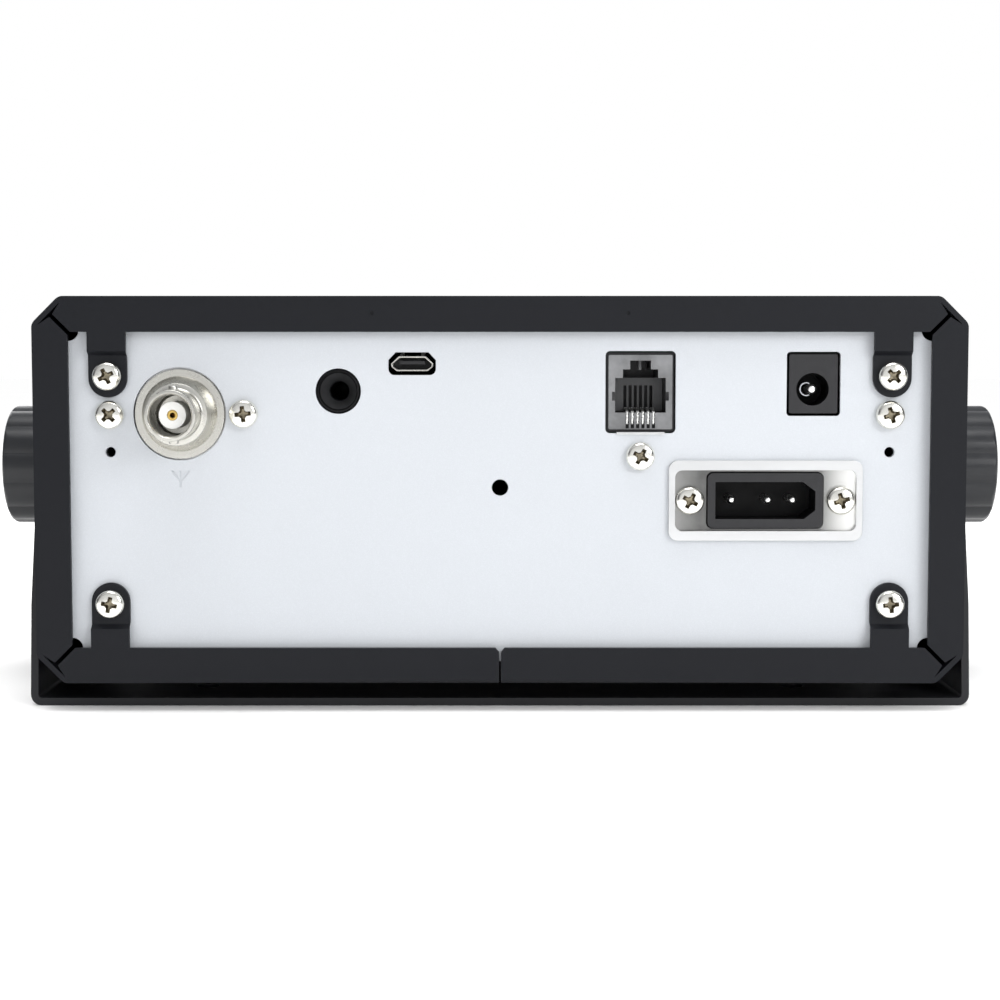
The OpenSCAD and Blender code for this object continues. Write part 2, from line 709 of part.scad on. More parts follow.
module modular_jack() color([0.25, 0.26, 0.27]) on_rear() difference() {
    union() {
        slab(modular_at, [modular_w, modular_h], modular_face - 2, modular_face, 0.3);
        slab(modular_at, [modular_w + 0.8, modular_h + 1], -18, panel_back);
        slab(modular_screw + [0, 2], [9, 8], panel_back - 3, panel_back);
    }
    at(modular_at, modular_face - 12) linear_extrude(13) modular_socket();
    for (i = [-2.5:2.5]) translate([modular_at[0] + i * contact_pitch - 0.3,
        modular_at[1] - modular_h / 2 + 0.2, modular_face - 0.9]) cube([0.6, 3.5, 2]);
    for (side = [-1, 1]) slab(modular_at + [side * 5.1, -0.8], [0.8, 1.7], modular_face - 0.8, 1);
    drill(modular_screw, screw_hole_d, -9, 1);
}

// Six spring wires, from the slots under the mouth up into the socket
module modular_contacts() color([0.8, 0.68, 0.4]) on_rear() for (i = [-2.5:2.5])
    translate([modular_at[0] + i * contact_pitch, modular_at[1] - 3.95, modular_face])
        across(0.42) polygon([[-3, -0.35], [0.2, -0.35], [2, -10], [1.6, -10], [0.05, -0.85],
                              [-3, -0.85]]);

module dc_jack() color([0.14, 0.14, 0.15]) on_rear() difference() {
    union() {
        slab(dc_at + dc_shift, dc_size, panel_back - 2, panel_face - 0.3, 0.4);
        translate([dc_at[0] + dc_shift[0] - dc_size[0] / 2,
                   dc_at[1] + dc_shift[1] - dc_size[1] / 2, panel_back - 12])
            cube([dc_size[0], board_under - dc_at[1] - dc_shift[1] + dc_size[1] / 2, 12]);
    }
    drill(dc_at, dc_bore_d, panel_face - 9.8, 1);
}

module dc_pin() color([0.8, 0.8, 0.8]) on_rear()
    at(dc_at, panel_face - 9.8) rotate_extrude() polygon([[0, 0], [dc_pin_d / 2, 0],
        [dc_pin_d / 2, 8], [dc_pin_d / 2 - 0.4, 8.6], [0, 8.6]]);

// Slot of the power inlet, keyed by two cut corners
module inlet_slot_outline() {
    a = inlet_slot[0] / 2;
    b = inlet_slot[1] / 2;
    polygon([[-a, -b], [a - 2.2, -b], [a, 1.7 - b], [a, b - 1.8], [a - 2.4, b], [-a, b]]);
}

module power_inlet() color([0.13, 0.13, 0.14]) on_rear() difference() {
    union() {
        slab(inlet_at, [inlet_w, inlet_h], inlet_back, inlet_face, 1.1);
        slab(inlet_at, inlet_flange, panel_back - 2, panel_back);
    }
    at(inlet_at, inlet_face - inlet_slot_d) linear_extrude(inlet_slot_d + 1) inlet_slot_outline();
    for (p = inlet_pins) drill(inlet_at + [p, 0], inlet_pin_d, inlet_back - 1, 1);
    for (side = [-1, 1]) drill(inlet_at + [side * inlet_screw, 0], screw_hole_d, -9, 1);
}

module power_pins() color([0.85, 0.85, 0.84]) on_rear() for (p = inlet_pins)
    at(inlet_at + [p, 0], inlet_back - 4) rotate_extrude() polygon([[0, 0],
        [inlet_pin_d / 2 - 0.02, 0], [inlet_pin_d / 2 - 0.02, inlet_face - inlet_back + 1.9],
        [inlet_pin_d / 2 - 0.4, inlet_face - inlet_back + 2.5], [0, inlet_face - inlet_back + 2.5]]);

module power_plate() color([0.85, 0.85, 0.84]) on_rear() difference() {
    union() {
        slab(inlet_at, plate_size, panel_face, panel_face + plate_t, 1.8);
        slab(inlet_at, tray_size, tray_floor - plate_t, panel_face + plate_t);
    }
    slab(inlet_at, tray_size - [plate_t, plate_t], tray_floor, 1, 1.4);
    slab(inlet_at, [inlet_w + 0.3, inlet_h + 0.3], hole_end, 1, 1.2);
    for (side = [-1, 1]) drill(inlet_at + [side * inlet_screw, 0], screw_hole_d, -9, 1);
}

module power_screws() color([0.8, 0.79, 0.75]) on_rear() for (side = [-1, 1])
    at(inlet_at + [side * inlet_screw, 0], tray_floor) pan_screw(6);

// ---- Front ----

// Cut for one key or lens, with the clearance round it
module opening(place, size, from, to, r) slab(place, size + 2 * [key_gap, key_gap], from, to, r + key_gap);

module front_shell() difference() {
    union() {
        hull() {
            linear_extrude(4) polygon(case_points(-rim, bend_r + rim));
            translate([0, 0, bezel_d - 1]) linear_extrude(1) polygon(case_points(rim, 6));
        }
        translate([0, 0, -spigot_l]) linear_extrude(spigot_l + 1) case_outline(spigot_out);
    }
    translate([0, 0, -spigot_l - 1]) linear_extrude(spigot_l + 1 + face_in) case_outline(cavity_in);
    opening(lens_at, [lens_w, lens_h], bezel_d - lens_t, bezel_d + 1, 1.5);
    slab(lens_at, [lens_w - 2 * lens_ledge, lens_h - 2 * lens_ledge], face_in - 1, bezel_d + 1, 1);
    for (p = key_at) opening(p, [key_w, key_h], face_in - 1, bezel_d + 1, 0.8);
    drill(power_at, power_d + 2 * key_gap, face_in - 1, bezel_d + 1);
    drill(light_at, light_d + 0.3, face_in - 1, bezel_d + 1);
    for (p = [dial_at, volume_at, squelch_at]) drill(p, bush_d + 0.4, face_in - 1, bezel_d + 1);
    for (i = [-3:3]) at(speaker_at + [0, grille_pitch * i], face_in - 1) linear_extrude(face_t + 2)
        slot(2 * sqrt(pow(grille_r, 2) - pow(grille_pitch * i, 2)), grille_slot);
    for (h = side_screw_h) translate([0, h, -side_screw_y]) rotate([0, 90, 0])
        cylinder(d = screw_hole_d, h = 2 * case_w, center = true);
}

// Pillars between the face and the front board
module board_pillars() for (p = boss_at) difference() {
    drill(p, boss_d, fboard_face, face_in + eps);
    drill(p, screw_hole_d, fboard_face - 1, face_in - 1);
}

module front_panel() color([0.13, 0.13, 0.14]) on_front() {
    front_shell();
    board_pillars();
}

module front_board() color([0.1, 0.35, 0.2]) on_front() {
    left = 5.5 - half_w;
    edge = 6;
    difference() {
        union() {
            translate([lens_x[0] - 6.5, edge, fboard_face - fboard_t])
                cube([-left - lens_x[0] + 6.5, case_h - edge - 5.5, fboard_t]);
            translate([left, edge, fboard_face - fboard_t])
                cube([lens_x[0] - 6 - left, 18, fboard_t]);
        }
        for (p = boss_at) drill(p, screw_hole_d, 0, bezel_d);
    }
    // Power switch in front of the board, ribbon socket behind it
    slab(power_at, [6, 6], fboard_face - eps, dome_top);
    slab([0, 50], [28, 6], fboard_face - fboard_t - 5, fboard_face - fboard_t + eps);
}

module front_screws() color([0.75, 0.74, 0.7]) on_front() for (p = boss_at)
    at(p, fboard_face - fboard_t) rotate([180, 0, 0]) pan_screw(5.5);

module display_lens() color([0.05, 0.06, 0.07]) on_front()
    slab(lens_at, [lens_w, lens_h], bezel_d - lens_t, bezel_d, 1.5);

module display_module() color([0.3, 0.35, 0.3]) on_front()
    slab(lens_at, [lens_w - 2, lens_h - 2], fboard_face, face_in - 0.1);

// One rubber sheet with a dome behind each function key
module keypad_mat() color([0.3, 0.3, 0.31]) on_front() {
    slab([lens_at[0], key_row + key_pitch[1] / 2], [lens_w, 2 * key_pitch[1] - 1],
         fboard_face, fboard_face + 1);
    for (p = key_at) at(p, fboard_face + 1 - eps)
        cylinder(d1 = 6, d2 = 4.4, h = dome_top - fboard_face - 1);
}

module function_key(i) color([0.2, 0.2, 0.21]) on_front() {
    slab(key_at[i - 1], [key_w, key_h], face_in - 0.2, bezel_d + key_proud, 0.8);
    slab(key_at[i - 1], [key_w + 2 * key_lip, key_h + 2 * key_lip],
         face_in - 0.1 - key_lip_t, face_in - 0.1);
}

module key_1() function_key(1);
module key_2() function_key(2);
module key_3() function_key(3);
module key_4() function_key(4);
module key_5() function_key(5);
module key_6() function_key(6);
module key_7() function_key(7);
module key_8() function_key(8);

module power_key() color([0.55, 0.12, 0.1]) on_front() at(power_at, face_in - 0.1 - key_lip_t)
    rotate_extrude() polygon([[0, 0], [power_d / 2 + key_lip, 0], [power_d / 2 + key_lip, key_lip_t],
        [power_d / 2, key_lip_t], [power_d / 2, face_t + key_proud + 0.3],
        [power_d / 2 - 0.4, face_t + key_proud + 0.7], [0, face_t + key_proud + 0.7]]);

module status_light() color([0.3, 0.8, 0.3]) on_front() at(light_at, fboard_face) {
    cylinder(d = light_d, h = bezel_d - fboard_face);
    translate([0, 0, bezel_d - fboard_face]) intersection() {
        sphere(d = light_d);
        cylinder(d = 2 * light_d, h = light_d);
    }
}

// A knob on a shaft, with a blind bore of depth bore_l
module shaft_knob(d, l, bore_l, edge) difference() {
    rotate_extrude() polygon(concat([[0, 0], [d / 2 - 0.4, 0], [d / 2, 0.4]],
        [for (a = [0:18:90]) [d / 2 - edge + edge * cos(a), l - edge + edge * sin(a)]], [[0, l]]));
    translate([0, 0, -1]) cylinder(d = shaft_d + 2 * shaft_gap, h = bore_l + 1);
}

module shaft(reach) translate([0, 0, fboard_face + 0.8])
    cylinder(d = shaft_d, h = reach - fboard_face - 0.8);

module dial() color([0.1, 0.1, 0.1]) on_front() difference() {
    at(dial_at, knob_base) shaft_knob(dial_d, dial_l, dial_l - 4, 1.2);
    // Finger rest
    at(dial_at + [0, dial_d / 2 - 8], knob_base + dial_l + 5) sphere(d = 13);
}

module dial_shaft() color([0.7, 0.7, 0.7]) on_front() at(dial_at) shaft(knob_base + dial_l - 4);

module small_knob(place) on_front() difference() {
    at(place, knob_base) shaft_knob(small_knob_d, small_knob_l, small_knob_l - 3, 0.8);
    at(place + [0, small_knob_d / 2 - 1.7], knob_base + small_knob_l)
        cube([0.8, 3.5, 1], center = true);
}

module volume_knob() color([0.12, 0.12, 0.12]) small_knob(volume_at);
module squelch_knob() color([0.12, 0.12, 0.12]) small_knob(squelch_at);
module volume_shaft() color([0.7, 0.7, 0.7]) on_front() at(volume_at)
    shaft(knob_base + small_knob_l - 3);
module squelch_shaft() color([0.7, 0.7, 0.7]) on_front() at(squelch_at)
    shaft(knob_base + small_knob_l - 3);

// Control body on the front board with a bush through the face
module control(place, width) difference() {
    union() {
        slab(place, [width, width], fboard_face, fboard_face + 5);
        drill(place, bush_d, fboard_face + 4, bezel_d);
    }
    drill(place, shaft_d + 2 * shaft_gap, fboard_face + 0.7, bezel_d + 1);
}

module dial_encoder() color([0.6, 0.6, 0.6]) on_front() control(dial_at, encoder_w);
module level_controls() color([0.6, 0.6, 0.6]) on_front() {
    control(volume_at, control_w);
    control(squelch_at, control_w);
}

module speaker() color([0.16, 0.16, 0.17]) on_front() at(speaker_at, face_in)
    rotate_extrude() polygon([[0, -15], [9, -15], [9, -9], [speaker_d / 2 - 2, -3],
        [speaker_d / 2, -3], [speaker_d / 2, 0], [speaker_d / 2 - 2, 0], [5, -6], [0, -5]]);

// Flat cable between the two boards, drawn in depth and height
module ribbon_cable() color([0.6, 0.6, 0.62]) translate([0, 0, case_z]) across(25) {
    t = 0.8;
    bend = 4;
    back = rear_y + board_front + 8;
    start = front_y - (fboard_face - fboard_t - 5);
    top = board_under - 6;
    h = 50;
    polygon(concat(
        [[start, h - t / 2]],
        [for (a = [-90:15:0]) [back + t / 2 - bend + bend * cos(a), h - t / 2 + bend + bend * sin(a)]],
        [[back + t / 2, top], [back - t / 2, top]],
        [for (a = [0:-15:-90]) [back - t / 2 - (bend - t) + (bend - t) * cos(a),
                                h - t / 2 + bend + (bend - t) * sin(a)]],
        [[start, h + t / 2]]));
}

bracket();
left_knob();
right_knob();
left_knob_screw();
right_knob_screw();
left_knob_washer();
right_knob_washer();
pivot_pads();
pivot_nuts();
case_sleeve();
sleeve_screws();
rear_panel();
chassis();
panel_screws();
main_board();
board_screws();
board_parts();
rf_shield();
power_module();
antenna_plate();
antenna_jack();
antenna_insulator();
antenna_contact();
audio_jack();
usb_shell();
usb_tongue();
modular_jack();
modular_contacts();
dc_jack();
dc_pin();
power_inlet();
power_pins();
power_plate();
power_screws();
front_panel();
front_screws();
front_board();
display_lens();
display_module();
keypad_mat();
key_1();
key_2();
key_3();
key_4();
key_5();
key_6();
key_7();
key_8();
power_key();
status_light();
dial();
dial_shaft();
dial_encoder();
volume_knob();
volume_shaft();
squelch_knob();
squelch_shaft();
level_controls();
speaker();
ribbon_cable();
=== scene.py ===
import json
import math

import bmesh
import bpy
from mathutils import Matrix, Vector


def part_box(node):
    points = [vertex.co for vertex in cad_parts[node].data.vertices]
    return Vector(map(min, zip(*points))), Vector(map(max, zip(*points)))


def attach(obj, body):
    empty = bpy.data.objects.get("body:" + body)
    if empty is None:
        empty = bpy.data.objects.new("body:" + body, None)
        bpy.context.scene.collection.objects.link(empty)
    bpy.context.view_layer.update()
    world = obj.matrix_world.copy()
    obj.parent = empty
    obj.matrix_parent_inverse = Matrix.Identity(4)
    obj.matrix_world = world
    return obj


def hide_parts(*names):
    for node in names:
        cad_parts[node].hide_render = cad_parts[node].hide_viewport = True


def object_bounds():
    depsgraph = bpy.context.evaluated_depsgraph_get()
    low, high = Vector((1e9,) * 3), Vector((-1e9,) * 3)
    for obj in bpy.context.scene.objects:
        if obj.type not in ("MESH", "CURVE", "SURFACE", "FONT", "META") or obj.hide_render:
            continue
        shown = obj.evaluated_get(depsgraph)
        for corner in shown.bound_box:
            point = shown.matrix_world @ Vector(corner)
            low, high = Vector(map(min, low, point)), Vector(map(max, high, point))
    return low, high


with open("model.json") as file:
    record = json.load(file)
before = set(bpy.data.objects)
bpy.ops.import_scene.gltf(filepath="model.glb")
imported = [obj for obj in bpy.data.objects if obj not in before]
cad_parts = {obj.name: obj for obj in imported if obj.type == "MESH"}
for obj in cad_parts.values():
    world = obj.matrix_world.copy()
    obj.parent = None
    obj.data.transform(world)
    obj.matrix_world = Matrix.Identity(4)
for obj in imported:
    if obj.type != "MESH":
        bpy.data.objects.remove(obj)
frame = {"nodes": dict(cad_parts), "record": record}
cadLow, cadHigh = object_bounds()
nodes = frame["nodes"]
record = frame["record"]
mm = 0.001
nodeBody = {n: body for body, names in record["behaviour"]["bodies"].items() for n in names}
nodeSlot = {part["node"]: part["material_slot"] for part in record["subparts"]}
print("frame loaded,", len(nodes), "nodes")


# Finishes. Sizes of grain and mottling are in millimetres
def addNode(tree, kind, inputs=None, **settings):
    made = tree.nodes.new(kind)
    for key, value in settings.items():
        setattr(made, key, value)
    for key, value in (inputs or {}).items():
        if isinstance(value, bpy.types.NodeSocket):
            tree.links.new(value, made.inputs[key])
        else:
            made.inputs[key].default_value = value
    return made


def startFinish(name, stretch=(1, 1, 1)):
    material = bpy.data.materials.new(name)
    material.use_nodes = True
    tree = material.node_tree
    shader = tree.nodes["Principled BSDF"]
    coords = addNode(tree, "ShaderNodeTexCoord").outputs["Object"]
    if stretch != (1, 1, 1):
        coords = addNode(tree, "ShaderNodeMapping", {"Vector": coords, "Scale": stretch}).outputs["Vector"]
    return material, tree, shader, coords


def noiseOf(tree, coords, size, detail=3, rough=0.55):
    return addNode(tree, "ShaderNodeTexNoise", {"Vector": coords, "Scale": 1 / (size * mm), "Detail": detail,
                                                "Roughness": rough}).outputs["Fac"]


def spread(tree, value, low, high, fromLow=0.3, fromHigh=0.7):
    return addNode(tree, "ShaderNodeMapRange", {"Value": value, "From Min": fromLow, "From Max": fromHigh,
                                                "To Min": low, "To Max": high}).outputs["Result"]


def shadeOf(colour, factor):
    return tuple(min(1, c * factor) for c in colour) + (1,)


def mixed(tree, value, first, second):
    mix = addNode(tree, "ShaderNodeMix", {"Factor": value}, data_type="RGBA")
    for key, colour in ((6, first), (7, second)):
        if isinstance(colour, bpy.types.NodeSocket):
            tree.links.new(colour, mix.inputs[key])
        else:
            mix.inputs[key].default_value = colour
    return mix.outputs[2]


def bumped(tree, shader, heights):
    normal = None
    for height, strength, distance in heights:
        inputs = {"Height": height, "Strength": strength, "Distance": distance * mm}
        if normal is not None:
            inputs["Normal"] = normal
        normal = addNode(tree, "ShaderNodeBump", inputs).outputs["Normal"]
    tree.links.new(normal, shader.inputs["Normal"])


# A coating, moulding or plating: mottled colour, uneven gloss and a fine skin
def surface(name, look):
    material, tree, shader, coords = startFinish(name, look.get("stretch", (1, 1, 1)))
    colour = look["colour"]
    mottle = look.get("mottle", 0.08)
    broad = noiseOf(tree, coords, look.get("mottleSize", 18), 4)
    fine = noiseOf(tree, coords, look["grain"], look.get("grainDetail", 3))
    base = mixed(tree, spread(tree, broad, 0, 1), shadeOf(colour, 1 - mottle), shadeOf(colour, 1 + mottle))
    speck = look.get("speck", 0)
    if speck:
        base = mixed(tree, spread(tree, fine, 0, speck, 0.45, 0.75), base, shadeOf(look.get("speckColour",
                                                                                            colour), 1.5))
    tree.links.new(base, shader.inputs["Base Color"])
    swing = look.get("swing", 0.06)
    patchy = noiseOf(tree, coords, look.get("patch", 4), 4)
    tree.links.new(spread(tree, patchy, look["rough"] - swing, look["rough"] + swing),
                   shader.inputs["Roughness"])
    shader.inputs["Metallic"].default_value = look.get("metal", 0)
    shader.inputs["Specular IOR Level"].default_value = look.get("specular", 0.5)
    if look.get("coat"):
        shader.inputs["Coat Weight"].default_value = look["coat"]
        shader.inputs["Coat Roughness"].default_value = look.get("coatRough", 0.08)
    heights = [(fine, look.get("bump", 0.15), look.get("depth", 0.02))]
    if look.get("peel"):
        heights.insert(0, (noiseOf(tree, coords, look["peel"], 2), look.get("peelBump", 0.12), 0.05))
    bumped(tree, shader, heights)
    return material


# Fine rings left by the lathe round an axis along Y
def turnedMetal(name, look):
    material, tree, shader, coords = startFinish(name)
    moved = addNode(tree, "ShaderNodeVectorMath", {0: coords, 1: look["axis"]},
                    operation="SUBTRACT").outputs[0]
    flat = addNode(tree, "ShaderNodeVectorMath", {0: moved, 1: (1, 0, 1)}, operation="MULTIPLY").outputs[0]
    radius = addNode(tree, "ShaderNodeVectorMath", {0: flat}, operation="LENGTH").outputs["Value"]
    depth = addNode(tree, "ShaderNodeSeparateXYZ", {0: coords}).outputs["Y"]
    place = addNode(tree, "ShaderNodeCombineXYZ", {"X": radius, "Y": depth}).outputs[0]
    rings = noiseOf(tree, place, look["ring"], 3)
    patches = noiseOf(tree, coords, 3, 4)
    colour = look["colour"]
    tree.links.new(mixed(tree, spread(tree, rings, 0, 1), shadeOf(colour, 0.9), shadeOf(colour, 1.06)),
                   shader.inputs["Base Color"])
    tree.links.new(spread(tree, patches, look["rough"] - 0.05, look["rough"] + 0.07),
                   shader.inputs["Roughness"])
    shader.inputs["Metallic"].default_value = 1
    bumped(tree, shader, [(rings, look.get("bump", 0.2), 0.01)])
    return material


# Lacquered board: copper shows through the green as tracks and pads
def boardFinish(name, look):
    material, tree, shader, coords = startFinish(name)
    bricks = addNode(tree, "ShaderNodeTexBrick", {
        "Vector": coords, "Color1": look["lacquer"], "Color2": look["dark"], "Mortar": look["track"],
        "Scale": 1 / (look["pitch"] * mm), "Mortar Size": 0.012, "Brick Width": 1.7, "Row Height": 0.35})
    pads = addNode(tree, "ShaderNodeTexVoronoi", {"Vector": coords,
                                                  "Scale": 1 / (look["pads"] * mm)}).outputs["Distance"]
    onPad = spread(tree, pads, 1, 0, 0.1, 0.16)
    base = mixed(tree, onPad, bricks.outputs["Color"], look["tin"])
    grain = noiseOf(tree, coords, 0.4, 3)
    tree.links.new(base, shader.inputs["Base Color"])
    tree.links.new(spread(tree, grain, 0.26, 0.4), shader.inputs["Roughness"])
    tree.links.new(spread(tree, onPad, 0, 0.9, 0, 1), shader.inputs["Metallic"])
    shader.inputs["Specular IOR Level"].default_value = 0.5
    bumped(tree, shader, [(bricks.outputs["Fac"], 0.25, 0.03), (grain, 0.05, 0.02)])
    return material


# Flat cable: one groove between each two wires
def ribbonFinish(name, look):
    material, tree, shader, coords = startFinish(name)
    wires = addNode(tree, "ShaderNodeTexWave", {"Vector": coords, "Scale": 0.314 / (look["pitch"] * mm),
                                                "Distortion": 0.0}, bands_direction="X").outputs["Fac"]
    grain = noiseOf(tree, coords, 0.8, 3)
    groove = spread(tree, wires, 0, 1, 0.05, 0.5)
    tree.links.new(mixed(tree, groove, look["groove"], look["wire"]), shader.inputs["Base Color"])
    tree.links.new(spread(tree, grain, 0.38, 0.52), shader.inputs["Roughness"])
    bumped(tree, shader, [(wires, 0.5, 0.2), (grain, 0.1, 0.02)])
    return material


# Display behind the lens: rows of unlit cells on a pale film, with a faint random haze
def cellFinish(name, look):
    material, tree, shader, coords = startFinish(name)
    cells = addNode(tree, "ShaderNodeTexBrick", {
        "Vector": addNode(tree, "ShaderNodeMapping", {"Vector": coords, "Rotation": (math.pi / 2, 0,
                                                                                     0)}).outputs[0],
        "Color1": look["film"], "Color2": look["film"], "Mortar": look["gap"],
        "Scale": 1 / (look["pitch"] * mm),
        "Mortar Size": 0.04, "Brick Width": 0.6, "Row Height": 1.0, "Mortar Smooth": 0.2})
    haze = noiseOf(tree, coords, 9, 3)
    tree.links.new(mixed(tree, spread(tree, haze, 0, 0.15), cells.outputs["Color"], look["haze"]),
                   shader.inputs["Base Color"])
    tree.links.new(spread(tree, haze, 0.3, 0.42), shader.inputs["Roughness"])
    bumped(tree, shader, [(cells.outputs["Fac"], 0.1, 0.02)])
    return material


# Clear moulding that is see-through from the front: tinted, hard and glossy
def glassFinish(name, look):
    material, tree, shader, coords = startFinish(name)
    haze = noiseOf(tree, coords, 14, 4)
    tree.links.new(mixed(tree, spread(tree, haze, 0, 1), shadeOf(look["colour"], 0.92),
                         shadeOf(look["colour"], 1.08)),
                   shader.inputs["Base Color"])
    tree.links.new(spread(tree, haze, look["rough"], look["rough"] + look["swing"]),
                   shader.inputs["Roughness"])
    shader.inputs["Transmission Weight"].default_value = look["clear"]
    shader.inputs["IOR"].default_value = 1.49
    shader.inputs["Specular IOR Level"].default_value = 0.5
    return material


# Speaker cone: pressed paper with rings, round an axis along Y
def coneFinish(name, look):
    material, tree, shader, coords = startFinish(name)
    moved = addNode(tree, "ShaderNodeVectorMath", {0: coords, 1: look["axis"]},
                    operation="SUBTRACT").outputs[0]
    flat = addNode(tree, "ShaderNodeVectorMath", {0: moved, 1: (1, 0, 1)}, operation="MULTIPLY").outputs[0]
    radius = addNode(tree, "ShaderNodeVectorMath", {0: flat}, operation="LENGTH").outputs["Value"]
    wave = addNode(tree, "ShaderNodeMath", {0: radius, 1: 2200.0}, operation="MULTIPLY").outputs[0]
    rings = addNode(tree, "ShaderNodeMath", {0: wave}, operation="SINE").outputs[0]
    fibres = noiseOf(tree, coords, 0.5, 5, 0.7)
    colour = look["colour"]
    tree.links.new(mixed(tree, fibres, shadeOf(colour, 0.6), shadeOf(colour, 1.4)),
                   shader.inputs["Base Color"])
    tree.links.new(spread(tree, fibres, 0.75, 0.95), shader.inputs["Roughness"])
    bumped(tree, shader, [(rings, 0.4, 0.3), (fibres, 0.4, 0.05)])
    return material


def middleOf(node):
    low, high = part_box(node)
    return (low + high) / 2


